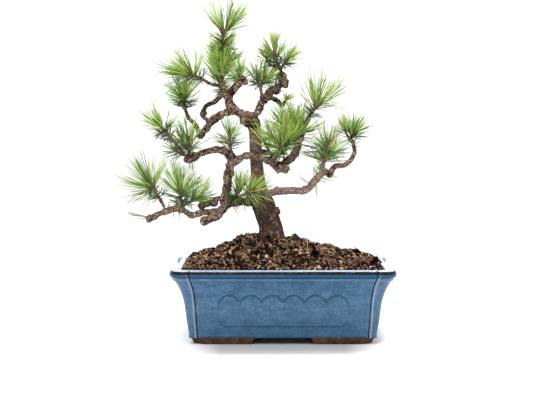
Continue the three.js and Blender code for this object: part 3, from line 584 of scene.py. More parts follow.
def buildPot():
    # Levels from the foot over the lip to the soil: the outline's height, how far in, the height,
    # and how much painted shade, how thin the glaze runs, and how much painted highlight there is
    lip = potHeight - pot["lipHeight"]
    top = potHeight
    levels = [(z, 0, z, 0, 0, 0) for z in [*np.arange(pot["footHeight"], 74, 2.6), 76, 78]]
    # A faint painted highlight under the lip, then painted shade down its face
    levels += [(80, 0, lip - 3.4, 0, 0, 0.05), (80.6, 0, lip - 1.6, 0, 0, 0.1),
               (80.9, -0.2, lip - 0.9, 0.3, 0, 0.06), (81.6, -0.6, lip - 0.2, 1, 0, 0),
               (lip, -0.9, lip + 0.5, 1, 0, 0),
               (lip + 1, -1.1, lip + 1.6, 0.8, 0, 0), (86, -1, lip + 3, 0.75, 0, 0),
               (89, -0.8, lip + 4.2, 0.9, 0, 0), (top, -0.6, top - 5.4, 1, 0.25, 0),
               (top, -0.4, top - 4.6, 1, 0.55, 0), (top, -0.3, top - 4, 1, 1, 0),
               (top, -0.2, top - 3.4, 1, 1, 0), (top, 0, top - 2.4, 1, 1, 0),
               # Over the rim's rounded front edge and flat top: a painted highlight
               (top, 0.3, top - 1.8, 0.6, 0.7, 0.2), (top, 0.7, top - 1.2, 0.3, 0, 0.6),
               (top, 1.3, top - 0.6, 0, 0, 0.95), (top, 2.1, top - 0.15, 0, 0, 0.85),
               (top, 3.2, top, 0, 0, 0.7), (top, 4.9, top, 0, 0, 0.6),
               (top, 7.2, top - 0.1, 0, 0, 0.6), (top, 8.1, top - 0.5, 0, 0, 0.5),
               (top, 8.8, top - 1.4, 0, 0.5, 0), (90, 8.9, top - 3, 0, 0, 0), (85, 8.2, top - 7, 0, 0, 0),
               (78, 7, 78, 0, 0, 0)]
    rings, glazed = [], []
    for outlineZ, inset, z, lipShadeHere, thinHere, highlightHere in levels:
        ring, thin, pale = potRing(outlineZ, inset, z)
        if z > lip + 0.4:
            thin, pale = thin * 0.8, pale * 0.3
            # Painted highlight: the back lobes' inner sides are coloured pale, as if burnt out by light
            # from behind
            near, far = pot["flankBand"]
            flank = (np.abs(ring[:, 0]) > pot["flankFrom"]) & (ring[:, 1] > near) & (ring[:, 1] < far)
            thin, pale = np.where(flank, 0, thin), np.where(flank, 0.4, pale)
            thinHere = np.where(flank, 0, thinHere)
        outside = float(inset < pot["lobedInset"])
        # Painted highlight: the lip's top is paler towards its ends
        ends = 0.6 + 0.4 * np.clip((np.abs(ring[:, 0]) - pot["brightFrom"]) / 14, 0, 1)
        rings.append(ring)
        glazed.append(np.column_stack([
            np.full(len(ring), lipShadeHere), np.maximum(thin * outside, thinHere),
            np.maximum(pale * outside, highlightHere * ends)]))
    points, faces = skin(rings)
    parts = [(points, faces)]
    glazed.append(np.zeros((2, 3)))

    def longFace(sign):
        return lambda x, z, out: (
            -sign * x, sign * (pot["panelHalfDepth"] + pot["longFlare"] * flareAt(z) + out), z)

    def endFace(sign):
        return lambda y, z, out: (
            sign * (pot["sideHalfLength"] + pot["endFlare"] * flareAt(z) + out), sign * y, z)

    for sign in (-1, 1):
        for form, face in ((pot["reliefLong"], longFace(sign)), (pot["reliefEnd"], endFace(sign))):
            ridge, ridgeFaces, ridgeShade = reliefRidge(*form, face)
            parts.append((ridge, ridgeFaces))
            # The ridge's painted shade line, with a little iron
            glazed.append(np.column_stack([ridgeShade, ridgeShade * 0.1, 0 * ridgeShade]))
    points, faces = joinParts(parts)
    deep, thin, pale = np.vstack(glazed).T
    body = meshObject("potBody", points, faces, {"deep": deep, "thin": thin, "pale": pale})
    body.data.materials.append(glaze)
    return body


def buildFeet():
    long, short, cut = pot["footHalfLength"], pot["footHalfWidth"], pot["footChamfer"]
    width = pot["footWidth"]
    parts = []
    for signX, signY in ((1, 1), (-1, 1), (-1, -1), (1, -1)):
        rings = []
        for z, shrink, slant in ((0, 2, 0.9), (0.6, 1.4, 0.6), (pot["footHeight"] * 0.6, -0.6, -2),
                                 (pot["footHeight"] + 1, -2, -4.4)):
            gapX, gapY = pot["footGapLong"] / 2 + slant, pot["footGapShort"] / 2 + slant
            far, wide = long - shrink, short - shrink
            outer = [(gapX, wide), (far - cut, wide), (far - cut * 0.45, wide - cut * 0.4),
                     (far, wide - cut), (far, gapY)]
            inner = [(far - width, gapY), (far - width, wide - width), (gapX, wide - width)]
            loop = [(x * signX, y * signY, z) for x, y in outer + inner]
            rings.append(loop if signX * signY < 0 else loop[::-1])
        parts.append(skin(rings))
    feet = meshObject("potFeet", *joinParts(parts), smooth=False)
    edge = feet.modifiers.new("edges", "BEVEL")
    edge.width = 0.0006
    edge.segments = 2
    edge.limit_method = "ANGLE"
    bake(feet)
    feet.data.materials.append(plain["bareClay"])
    return feet


potBody = ride(buildPot(), ["pot"])
ride(buildFeet(), ["pot"])
print("pot made:", len(potBody.data.polygons), "faces")


trunk = {
    "path": [[-11.4, 0, 118.4], [-14.5, 0.4, 136], [-23.5, 2, 163], [-30, 3.8, 193], [-33.2, 3.4, 230],
             [-35, 2, 261], [-40, 0.3, 276.5]],
    "heights": [118, 122, 128, 140, 156, 168, 178, 190, 212, 260, 268, 276.5],
    "radii": [18.4, 17, 15.6, 14.2, 13.8, 14.4, 10.6, 9.2, 8, 7.8, 9.2, 7.6],
    "flare": 0.1, "flareRun": 24,
    # Flutes round the trunk: depth, how many, twist
    "flutes": ((0.02, 5, 0.06), (0.016, 8, -0.05)),
    "stub": [[-20, 0, 155], [-10, -3, 157], [-4.5, -4.8, 158.6]],
    "stubRadius": 5,
    "creases": [262.6, 264.8, 269.5, 275], "creaseDepth": 0.6, "creaseWidth": 0.8,
    # Heights where the plates end and the close rings start and end, and how gradually
    "platesEnd": 180, "ringsStart": 182, "ringsEnd": 284, "fade": 14, "endFade": 8,
}

# Boughs as paths down their middle with a radius at each end, and how knotty each is
boughs = {
    "bough_crown": ([[-41, 0, 275], [-52, -3.5, 280.2], [-65, -9, 290.5], [-67, -11, 299],
                     [-58, -13, 314], [-49, -15, 322]], 5.2, 4.4, 0.9),
    "bough_crown_riser": ([[-67, -11, 299.5], [-72, -5, 304.5], [-73.8, 0, 313], [-75, 2, 320]],
                          3.8, 3, 1),
    "bough_left": ([[-42, -1, 275], [-57, -3, 282], [-73, 9, 280.3], [-86, 18, 273],
                    [-98, 28, 259.5], [-104.9, 31, 251]], 5, 4, 1),
    "bough_left_rise": ([[-105.4, 31, 251.5], [-110, 29, 265], [-118.5, 26, 274],
                         [-123.9, 25, 288]], 3.2, 2.5, 1),
    "bough_left_loop": ([[-91, 22.5, 268.6], [-101.5, 25, 279.5], [-97, 27, 289.3], [-84, 30, 297],
                         [-75, 36, 307]], 3, 2.4, 1),
    "bough_front": ([[-2.5, -12.5, 208.5], [-12, -9.4, 217.6], [-30, -8.2, 225.2],
                     [-46, -11.5, 227], [-63, -17, 218]], 3.8, 4.4, 1.1),
    "bough_front_arch": ([[-63, -17, 219], [-66, -18.5, 227], [-76, -20.5, 235],
                          [-95, -24, 232.3], [-111, -28, 225.7], [-119, -30, 222]], 4.8, 3.9, 1.3),
    "bough_front_drop": ([[-65, -17, 217], [-67.6, -16.4, 203], [-70, -15, 183],
                          [-71.4, -14, 168]], 5.4, 5.2, 1.3),
    "bough_low": ([[-30, 1, 168.5], [-48, -9, 169.6], [-65, -14, 168], [-78.6, -17, 157.5]],
                  5.2, 4.6, 1.1),
    "bough_low_curl": ([[-69, -14, 167], [-74.5, -13.6, 173.6], [-82, -12.4, 173.4],
                        [-91, -10.2, 168.2], [-102.2, -6, 166]], 3.6, 3.2, 1.3),
    "bough_low_fork": ([[-74, -16, 161], [-81, -18.5, 151.5], [-90, -21, 148.6],
                        [-98, -23, 145.5]], 4, 4.2, 1.3),
    "bough_low_reach": ([[-78, -17, 157.5], [-96, -24, 157.7], [-113.4, -32, 154.7],
                         [-126, -35, 161.8], [-145, -39.5, 159.5], [-165, -44, 150]], 3.9, 3.4, 1.1),
    "bough_right": ([[-28, 3, 176.5], [-6, -3, 182.2], [14, -8, 183.6], [29, -11, 184],
                     [40, -13, 196], [52, -15, 209.2]], 4.6, 4.2, 0.35),
    "bough_right_out": ([[51, -15, 208.5], [59, -11.5, 206.2], [66, -5, 214], [78.5, 3.5, 215],
                         [90.5, 12.5, 228], [91, 16, 238], [87, 20, 251]], 3.5, 2.5, 0.6),
    "bough_mid": ([[-4, -11.5, 211.8], [9, -7, 223], [15.5, -1, 229.5], [22, 6, 243],
                   [27.4, 11, 259]], 5, 3.2, 1),
    "bough_top": ([[-38, 1, 275], [-30, 7, 283], [-26.6, 13, 292.6], [-22.6, 16, 299]],
                  4.6, 4.4, 1.2),
    "bough_top_hook": ([[-24, 15.4, 297.6], [-15, 21.5, 307.5], [-5, 22.8, 313.6],
                        [2.2, 20.8, 319.6], [0, 17.5, 330]], 4.8, 3.8, 1.6),
    "bough_top_back": ([[-22, 16, 300], [-14, 26, 299.5], [-6, 36, 296.4], [-1, 48, 290]],
                       3.2, 2.3, 1),
    "bough_back": ([[-33, 4, 228], [-24, 20, 231], [-8, 38, 228], [4, 50, 234]], 3.4, 2.5, 1),
    "bough_back_right": ([[36, -12, 191.5], [44, 4, 197], [50, 20, 204], [52, 34, 214]],
                         3.2, 2.3, 1),
}

# Swollen joints and knuckles: place and radius
knobs = [
    (-114, -30, 225, 6.2), (-97, -23, 146, 5.6), (-86, -12, 169, 4.8), (-101, -8, 164.5, 5.2),
    (-7, -8, 182.6, 5.2), (29, -11, 184.6, 5), (60, -9, 205, 4.6), (-4, -11, 214, 6.6),
    (-13, -9, 221, 5.6), (3, -8, 210, 5), (12, -6, 224, 4.6), (-1.5, 18, 327, 5), (3, 20.5, 318, 5.4),
    (-8, 22.5, 311, 5.8), (-17, 20, 306, 5), (-63, -17, 221, 5.6), (-49, -15, 321, 5.4),
    (-71, -14, 168, 6.2), (-94, 25, 266, 4.6), (-99, 26, 281, 3.6), (-145, -39.5, 160, 4.2),
    (-164, -43.5, 151.4, 4), (-45, -1, 273, 9),
]

barkShape = {
    "step": 1.0, "sides": 30, "trunkSides": 72,
    "collar": 0.25, "collarRun": 4,
    "voxel": 0.84, "smoothing": 2,
    "relief": {"depth": 0.0026, "middle": 0.43, "scaleSize": 3.5,
               "plateWidth": 3.9, "plateLength": 12.0},
    "twigRelief": {"depth": 0.0018, "middle": 0.43, "scaleSize": 2.4,
                   "plateWidth": 3.0, "plateLength": 9.0},
    "wander": 0.9, "swell": ((5.5, 0, 0.32), (13, 40, 0.22)), "knobRoughness": 0.5,
    "knottyTrunk": 0.66, "bareTrunk": 0.55,
    "weathered": {"bough_right": 0.75, "bough_front": 0.45, "bough_low_reach": 0.25},
}

# Name, centres, run, frames and radii of the trunk and each bough, for the relief and the needles
limbLines = []


def limbSkin(name, path, startRadius, endRadius, knots, seed):
    centres, run = curvePoints(path, barkShape["step"])
    line = np.column_stack([run, run * 0, run * 0])
    wander = np.column_stack([ripple(line, 9, seed + k) for k in (1, 2, 3)])
    centres = centres + wander * barkShape["wander"] * knots
    along, side, up = framesAlong(centres)
    radii = np.interp(run, [0, run[-1]], [startRadius, endRadius])
    swell = 1 + knots * sum(share * ripple(line, size, seed + shift)
                            for size, shift, share in barkShape["swell"])
    radii = radii * swell * (1 + barkShape["collar"] * np.exp(-run / barkShape["collarRun"]))
    limbLines.append((name, centres, run, along, side, up, radii))
    rings = tube(centres, side, up, radii, barkShape["sides"])
    end = roundEnd(rings[-1], centres[-1], along[-1] * radii[-1], ((0.35, 0.88), (0.62, 0.62), (0.75, 0.3)))
    return skin(rings + end)


def ballShape(detail, radius):
    ball = bmesh.new()
    bmesh.ops.create_icosphere(ball, subdivisions=detail, radius=radius)
    points = np.array([vertex.co for vertex in ball.verts])
    faces = [[vertex.index for vertex in face.verts] for face in ball.faces]
    ball.free()
    return points, faces


def knobSkin(place, radius):
    points, faces = ballShape(3, radius)
    points += place
    points += (points - place) * (barkShape["knobRoughness"] * ripple(points, 5, 9))[:, None]
    return points, faces


def trunkSkin():
    centres, run, along, side, up = framedCurve(trunk["path"], barkShape["step"])
    radii = np.interp(centres[:, 2], trunk["heights"], trunk["radii"])
    limbLines.append(("trunk", centres, run, along, side, up, radii))
    turns = circle(barkShape["trunkSides"])
    rings = []
    for at, far, way, s, radius in zip(centres, run, along, side, radii):
        # Rings lie level at the foot and turn square to the wood above it
        level = min(1, far / trunk["flareRun"])
        way = unit(np.array([0, 0, 1]) * (1 - level) + way * level)
        s = unit(s - way * s.dot(way))
        lobes = 1 + trunk["flare"] * max(0, 1 - far / trunk["flareRun"]) * np.sin(turns * 3 + 0.8)
        flutes = sum(deep * np.sin(turns * count + far * twist) for deep, count, twist in trunk["flutes"])
        reach = radius * (lobes + flutes)[:, None]
        rings.append(ringAt(at, s, np.cross(way, s), reach, barkShape["trunkSides"]))
    end = roundEnd(rings[-1], centres[-1], along[-1] * radii[-1], ((0.3, 0.9), (0.55, 0.65), (0.68, 0.3)))
    return skin(rings + end)


def barkTree():
    tree, inputs = geometryTree("barkRelief", {
        "Depth": "Float", "Middle": "Float", "Scale Size": "Float", "Plate Width": "Float",
        "Plate Length": "Float", "Material": "Material"})
    place = named(tree, "barkSpace", "FLOAT_VECTOR")

    def shrunk(width, length, share):
        across = sums(tree, "DIVIDE", 1.0, width)
        return vectors(tree, "MULTIPLY", place,
                       together(tree, across, across, sums(tree, "DIVIDE", share, length)))

    def cells(vector, feature):
        return addNode(tree, "ShaderNodeTexVoronoi", {"Vector": vector, "Scale": 1.0},
                       feature=feature).outputs["Distance"]

    def mixed(share, a, b):
        return addNode(tree, "ShaderNodeMix", {0: share, 2: a, 3: b}, data_type="FLOAT").outputs[0]

    # Leaf-base scales on the boughs
    small = shrunk(inputs["Scale Size"], inputs["Scale Size"], 1.1)
    warp = noiseAt(tree, small, 0.9, 2.0)["Color"]
    warped = vectors(tree, "MULTIPLY_ADD", warp, (1.5, 1.5, 1.5), small)
    scales = falling(tree, cells(warped, "F1"), 1.25)
    ridge = sums(tree, "SUBTRACT", noiseAt(tree, warped, 1.25, 3.0, 0.6)["Fac"], 0.5)
    flakes = falling(tree, sums(tree, "ABSOLUTE", ridge), 5.0)
    scales = weighed(tree, scales, 0.55, flakes, 0.45)
    # Long plates with fissures between them low on the trunk
    long = shrunk(inputs["Plate Width"], inputs["Plate Length"], 1.0)
    gaps = cells(vectors(tree, "MULTIPLY_ADD", warp, (1.9, 1.9, 1.4), long), "DISTANCE_TO_EDGE")
    plates = sums(tree, "MULTIPLY", sums(tree, "POWER", sums(tree, "MULTIPLY", gaps, 3.0, True), 0.6), 0.9)
    rough = noiseAt(tree, place, 0.75, 4.0, 0.7)["Fac"]
    # Close rings round the bare upper trunk
    bands = noiseAt(tree, vectors(tree, "MULTIPLY", place, (0.12, 0.12, 0.62)), 1.0, 3.0)["Fac"]
    form = mixed(named(tree, "banded"), mixed(named(tree, "fissured"), scales, plates), bands)
    relief = sums(tree, "SUBTRACT", weighed(tree, form, 0.62, rough, 0.38), named(tree, "crease"))
    depth = sums(tree, "MULTIPLY", sums(tree, "MULTIPLY", inputs["Depth"], named(tree, "knotty")),
                 sums(tree, "SUBTRACT", relief, inputs["Middle"]))
    normal = addNode(tree, "GeometryNodeInputNormal").outputs[0]
    geometry = moved(tree, inputs["Geometry"], stretched(tree, normal, depth))
    finishTree(tree, stored(tree, geometry, "relief", relief), inputs["Material"])
    return tree


def addBarkSpace(item, lines, knotsOf, bareOf):
    # Each point gets a place round and along its nearest limb, so the relief follows the wood
    places = vertexPlaces(item.data)
    best = np.full(len(places), 1e9)
    space = np.zeros((len(places), 3))
    fissured, banded, crease, weathered = np.zeros((4, len(places)))
    knotty = np.ones(len(places))
    for number, (name, centres, run, along, side, up, radii) in enumerate(lines):
        low, high = centres.min(0) - 26, centres.max(0) + 26
        near = np.flatnonzero(((places > low) & (places < high)).all(1))
        if not len(near):
            continue
        gap = np.linalg.norm(places[near, None] - centres[None], axis=2)
        nearest = gap.argmin(1)
        surface = gap[np.arange(len(near)), nearest] - radii[nearest]
        won = surface < best[near]
        rows, at = near[won], nearest[won]
        best[rows] = surface[won]
        out = places[rows] - centres[at]
        lift = (out * along[at]).sum(1)
        turnX, turnY = (out * side[at]).sum(1), (out * up[at]).sum(1)
        size = np.hypot(turnX, turnY) + 1e-6
        space[rows] = np.column_stack([turnX / size * radii[at] + number * 31, turnY / size * radii[at],
                                       run[at] + lift])
        knotty[rows] = knotsOf(name)
        weathered[rows] = bareOf(name)
        fissured[rows], banded[rows], crease[rows] = 0, 0, 0
        if name == "trunk":
            height = places[rows, 2]
            fissured[rows] = np.clip((trunk["platesEnd"] - height) / trunk["fade"], 0, 1)
            banded[rows] = (np.clip((height - trunk["ringsStart"]) / trunk["fade"], 0, 1)
                            * np.clip((trunk["ringsEnd"] - height) / trunk["endFade"], 0, 1))
            knotty[rows] = barkShape["knottyTrunk"] - 0.3 * banded[rows]
            weathered[rows] = barkShape["bareTrunk"] * banded[rows]
            for ring in trunk["creases"]:
                away = (height - ring) / trunk["creaseWidth"]
                crease[rows] += trunk["creaseDepth"] * np.exp(-(away ** 2))
    for key, values in (("barkSpace", space), ("fissured", fissured), ("knotty", knotty),
                        ("banded", banded), ("crease", crease), ("weathered", weathered)):
        setAttribute(item.data, key, values)


def buildBark():
    centres, _, _, side, up = framedCurve(trunk["stub"], 1)
    parts = [trunkSkin(), skin(tube(centres, side, up, trunk["stubRadius"], 24))]
    for number, (name, row) in enumerate(boughs.items()):
        parts.append(limbSkin(name, *row, number + 1))
    parts += [knobSkin((x, y, z), radius) for x, y, z, radius in knobs]
    wood = meshObject("barkedLimbs", *joinParts(parts))
    fuse(wood, barkShape["voxel"])
    ease = wood.modifiers.new("ease", "SMOOTH")
    ease.factor = 0.5
    ease.iterations = barkShape["smoothing"]
    bake(wood)
    knotsOf = {name: row[3] for name, row in boughs.items()}
    addBarkSpace(wood, limbLines, lambda name: 0.35 + 0.65 * knotsOf.get(name, 1),
                 lambda name: barkShape["weathered"].get(name, 0))
    return runTree(wood, barkTree(), material=bark, **barkShape["relief"])


wood = ride(buildBark(), ["trunk", *boughs])
print("trunk and boughs made:", len(wood.data.polygons), "faces")


foliage = {
    "needleLength": 46, "girth": (0.84, 1.26), "twigRadius": 1.9, "shootRadius": 1.4, "spacing": 0.8,
    "oldLength": 15, "oldPerMillimetre": 3.4, "lowestTip": 132,
    "lift": 0.06, "splay": 0.11, "bow": 0.2, "jitter": 0.12,
    "overlap": 19, "clearance": 0.8, "fullness": 1.1, "spiral": 2.39996, "deadRadii": (1.3, 0.7),
    # How much single needles vary in length and opening
    "lengths": (0.62, 1.06), "oldLengths": (0.6, 1.25), "strayLengths": (0.6, 1.3), "openings": (0.78, 1.2),
    "shades": ("fresh", "green", "mature", "old"), "dryShare": 0.015,
    # How far a mass has turned from fresh growth to old
    "age": {"front": 0.48, "right_mid": 0.44, "low_front": 0.34, "mid_left": 0.4, "mid": 0.28,
            "low_left": 0.26, "low_far": 0.28, "right": 0.34, "reach": 0.26, "low_tip": 0.86},
    "seed": 38, "straySeed": 900,
}

# Each tuft: its mass, its stem, the length of stem that bears needles, how many pairs, the angle in
# degrees between needle and stem at the tip and at the foot of that part, needle size, the way the
# tuft faces and how far off that a needle may point, and the length of stem with old short needles
tufts = [
    ("apex", [(-75.5, 2, 319.5), (-75, 3, 340), (-75, 5, 360), (-74.5, 6, 383)],
     12, 16, (16, 80), 0.5, (0, 0, 1), 112, 44),
    ("apex", [(-75.5, 3.5, 345), (-75, 4.5, 357.5), (-74.5, 5.5, 371.5)],
     26, 66, (56, 104), 0.6, (0, 0, 1), 112, 0),
    ("apex", [(-75, 6, 375), (-76, 5, 380), (-78, 5, 386)], 4, 16, (4, 30), 0.98, (-0.35, 0, 1), 38, 0),
    ("apex", [(-74.5, 6, 375), (-72.5, 7, 381), (-68.5, 8, 386)],
     5, 30, (4, 38), 1.04, (0.95, 0, 0.95), 40, 0),
    ("apex", [(-75.5, 0, 317), (-76.5, -5, 323), (-77, -8, 329.5)],
     9, 64, (6, 92), 0.9, (0, -0.2, 1), 98, 6),
    ("apex", [(-75.5, 3, 332), (-72.5, 1, 338.5), (-68, 0, 344.5)],
     7, 26, (6, 74), 0.62, (0.6, -0.2, 0.8), 84, 0),
    ("apex", [(-75.5, 4, 347.5), (-79.5, 3, 352.5), (-82.5, 2, 357.5)],
     6, 16, (6, 74), 0.44, (-0.6, -0.2, 0.8), 84, 8),
    ("crown_left", [(-77.5, 36, 307.5), (-79.5, 37, 316.5), (-80, 37, 327)],
     12, 48, (12, 84), 0.86, (-0.2, 0.5, 0.9), 98, 10),
    ("crown_mid", [(-50, -15, 321.5), (-53, -20, 328.5)], 7, 40, (10, 96), 0.68, (0.05, -0.3, 1), 104, 0),
    ("upper_left", [(-77, 0, 314.5), (-90, -12, 317), (-102.5, -16, 324), (-116.5, -21, 328.5)],
     10, 56, (6, 92), 1.06, (-0.75, -0.2, 0.66), 84, 10),
    ("left", [(-123, 25, 287), (-124, 24.5, 294.5), (-125.5, 24, 301.5)],
     8, 74, (8, 96), 0.82, (0.05, -0.1, 1), 104, 8),
    ("far_left", [(-117.5, -30, 225), (-126, -34, 235), (-136.5, -41, 248.5), (-149, -48, 264)],
     7, 34, (8, 100), 0.78, (-0.3, -0.2, 0.92), 100, 14),
    ("far_left", [(-142.5, -44, 256), (-147.5, -45, 257.5), (-152, -46, 258.5)],
     4, 9, (10, 60), 0.5, (-0.4, 0, -0.9), 60, 0),
    ("mid_left", [(-114.5, -29, 226), (-114.5, -31, 236), (-115, -33, 246)],
     9, 30, (8, 90), 0.76, (-0.1, -0.2, 1), 100, 8),
    ("mid_left", [(-118.5, -31, 226), (-125.5, -33, 230.5), (-133, -35, 234)],
     6, 18, (8, 80), 0.54, (-0.5, 0, 0.85), 90, 6),
    ("mid_left", [(-115.5, -30, 234.5), (-120.5, -28, 239), (-124.5, -26, 246)],
     6, 18, (8, 70), 0.66, (-0.6, 0.2, 0.8), 74, 0),
    ("front", [(-59, -14, 225.5), (-63.5, -19, 232), (-65.5, -23, 242), (-66, -25, 254.5)],
     13, 34, (12, 96), 0.62, (0.05, -0.2, 1), 96, 6),
    ("low_far", [(-146, -40, 165), (-151, -44, 175), (-157, -49, 185), (-161.5, -53, 191.5)],
     7, 62, (6, 112), 1.12, (-0.95, -0.2, 0.4), 98, 14),
    ("low_tip", [(-163.5, -44, 153), (-167, -45, 152)], 2, 5, (6, 24), 0.94, (-1, 0, 0.25), 24, 0),
    ("low_left", [(-124.5, -35, 162), (-125.5, -33, 172), (-127.5, -30, 184)],
     8, 60, (6, 96), 1.06, (0.2, -0.3, 0.95), 98, 12),
    ("low_left", [(-124, -34, 165.5), (-116.5, -30, 169), (-108, -27, 173.5)],
     7, 34, (8, 84), 0.8, (0.55, -0.1, 0.84), 70, 6),
    ("low_front", [(-64, -14, 174.5), (-55, -22, 177), (-47.5, -31, 180), (-39.5, -39, 184.5)],
     8, 44, (10, 100), 0.8, (0.4, -0.5, 0.7), 104, 0),
    ("low_front", [(-60, -19, 175), (-57, -23, 178.5), (-54.5, -25, 184)],
     5, 20, (6, 44), 0.74, (0.05, 0, 1), 48, 14),
    ("mid", [(-11.5, -10, 218), (-6.5, -19, 227), (-2, -27, 236), (-1, -30, 243)],
     9, 48, (6, 96), 0.95, (-0.1, -0.2, 1), 98, 12),
    ("mid", [(-6.5, -20, 226), (-15.5, -26, 232), (-20.5, -30, 239.5)],
     6, 14, (8, 50), 0.94, (-0.5, -0.1, 0.9), 50, 0),
    ("mid", [(-2, -24, 232), (4, -26, 238.5), (9, -26, 246)],
     6, 24, (6, 60), 0.84, (0.3, -0.1, 0.95), 60, 4),
    ("mid_back", [(14.5, -1, 229), (16, 8, 240), (15.5, 16, 251.5), (15, 20, 263)],
     10, 58, (8, 84), 0.88, (0.1, 0, 1), 84, 12),
    ("mid_back", [(16, 9, 242.5), (21.5, 12, 250.5), (26.5, 14, 258)],
     8, 40, (8, 74), 0.88, (0.2, 0, 1), 72, 8),
    ("mid_back", [(13.5, 14, 247.5), (7, 22, 255.5), (3.5, 26, 264)],
     8, 36, (8, 74), 0.8, (-0.15, 0.2, 1), 74, 8),
    ("reach", [(27, 11, 258.5), (34, 15, 276), (44, 19, 290)], 9, 16, (8, 100), 1.2, (-0.1, 0, 1), 92, 8),
    ("reach", [(38, 17, 282), (40.5, 18, 287.5), (40.5, 19, 293)],
     4, 10, (4, 34), 1.14, (-0.5, 0, 0.9), 34, 0),
    ("reach", [(40, 18, 284), (43.5, 19, 289), (45, 20, 294.5)], 4, 9, (3, 22), 1.16, (0.02, 0, 1), 26, 0),
    ("reach", [(38.5, 18, 283), (44.5, 19, 289.5), (49.5, 20, 293.5)],
     4, 12, (6, 56), 1.14, (0.95, 0, 0.4), 44, 0),
    ("right_mid", [(50.5, -16, 212), (52, -18, 221), (54.5, -23, 233.5), (55, -25, 241.5)],
     9, 32, (6, 124), 0.88, (0.05, -0.25, 0.85), 128, 8),
    ("right", [(87.5, 20, 247.5), (88, 21, 251.5), (89.5, 22, 256.5)],
     5, 36, (8, 96), 0.74, (0.55, -0.1, 0.82), 84, 4),
    ("right", [(86, 20, 246.5), (83, 17, 251.5), (80, 15, 257)],
     5, 16, (8, 60), 0.54, (-0.4, -0.2, 0.9), 70, 0),
    ("top_left", [(-25.5, 15, 301), (-27.5, 22, 311), (-31.5, 31, 323), (-32, 33, 328)],
     7, 24, (8, 84), 0.66, (-0.2, 0, 1), 92, 8),
    ("top_left", [(-27, 20, 308.5), (-26.5, 14, 316), (-23, 10, 323.5)],
     6, 34, (6, 60), 0.86, (0.8, -0.1, 0.7), 58, 6),
    ("top", [(-0.5, 17, 330), (-3.5, 14, 337.5), (-8, 11, 347.5), (-10, 11, 358.5)],
     13, 44, (8, 76), 0.68, (0, 0, 1), 78, 14),
    ("top", [(-3, 14, 335), (2, 10, 342.5), (7, 6, 348.5)], 6, 22, (8, 60), 0.62, (0.6, -0.2, 0.7), 66, 6),
    ("top", [(-4, 15, 337.5), (-14.5, 17, 341.5), (-20.5, 20, 350.5)],
     6, 20, (8, 70), 0.54, (-0.5, 0, 0.85), 66, 6),
    ("top_back", [(0.5, 48, 290), (6, 55, 299)], 7, 18, (10, 84), 0.46, (0, 1, 0), 60, 0),
    ("back", [(2.5, 50, 234.5), (6, 54, 246)], 8, 52, (10, 94), 0.8, (0.1, 0.5, 0.9), 100, 0),
    ("back", [(3.5, 51, 237), (-5, 60, 243), (-11.5, 66, 249.5)],
     7, 30, (8, 80), 0.7, (-0.3, 0.8, 0.6), 90, 0),
    ("back_right", [(51.5, 34, 214), (53, 40, 225.5)], 8, 52, (10, 94), 0.8, (0.1, 0.5, 0.9), 100, 0),
    ("back_right", [(52, 36, 216.5), (60, 44, 223), (65.5, 50, 229)],
     7, 26, (8, 80), 0.7, (0.5, 0.6, 0.6), 90, 0),
]

# Needles straight off a limb: its line, its radius, how many pairs, their size
strays = [
    ([(-66, -14, 169), (-56, -12, 172), (-44, -8, 170)], 5, 16, 0.34),
    ([(34, -12, 192), (44, -14, 200), (53, -15, 208)], 4.4, 22, 0.34),
    ([(-144, -39, 160), (-132, -36, 162), (-122, -34, 160)], 3.6, 12, 0.24),
    ([(-117, -29, 224), (-110, -28, 226)], 4.6, 8, 0.34),
    ([(92, 16, 236), (88, 19, 248)], 2.6, 10, 0.3),
    ([(-68, -9, 302), (-73, -3, 310)], 3.6, 12, 0.28),
    ([(-16, 21, 307), (-5, 22, 312)], 4.4, 12, 0.3),
    ([(-8, -10, 215), (6, -7, 221)], 5.4, 14, 0.26),
]

# Twigs that have died back
deadTwigs = [[(41, -20, 236.5), (32, -21, 239.5), (21, -23, 241.5)]]

limbCentres = np.vstack([line[1] for line in limbLines])
limbRadii = np.concatenate([line[6] for line in limbLines])
massCentres = {row[0]: np.array(row[1][-1], float) for row in reversed(tufts)}


def hasRoom(mass, root, tip):
    # A needle keeps to its own mass, above the soil and off the limbs
    if tip[2] < foliage["lowestTip"]:
        return False
    own = np.linalg.norm(tip - massCentres[mass])
    if any(np.linalg.norm(tip - centre) < own - foliage["overlap"]
           for other, centre in massCentres.items() if other != mass):
        return False
    probe = root + (tip - root) * np.linspace(0.25, 1, 7)[:, None]
    gap = np.linalg.norm(probe[:, None] - limbCentres[None], axis=2) - limbRadii[None]
    return gap.min() > foliage["clearance"]


def pickShade(rng, age):
    # Younger growth is fresh and bright, older growth dark; the darker shades also stand for painted shade
    # inside and under a tuft
    if rng.random() < foliage["dryShare"]:
        return "dry"
    step = rng.gauss(3.4 * age, 1.05)
    return foliage["shades"][min(3, max(0, round(step)))]


def addPair(root, way, reach, shade, rng, made):
    parting = unit(np.cross(way, anyWay(rng)))
    curl = unit(np.cross(way, anyWay(rng)))
    for hand in (-1, 1):
        heading = unit(way + parting * hand * foliage["splay"] * rng.uniform(0.3, 1.2))
        bow = (curl * rng.uniform(0, 1) + np.array([0, 0, rng.uniform(-0.2, 0.5)])) * foliage["bow"] * reach
        girth = rng.uniform(*foliage["girth"]) * min(1, 0.55 + reach / 60)
        made[shade].append((root, heading, (girth, girth, reach * rng.uniform(0.92, 1.03)),
                            bow - parting * hand * reach * 0.02))


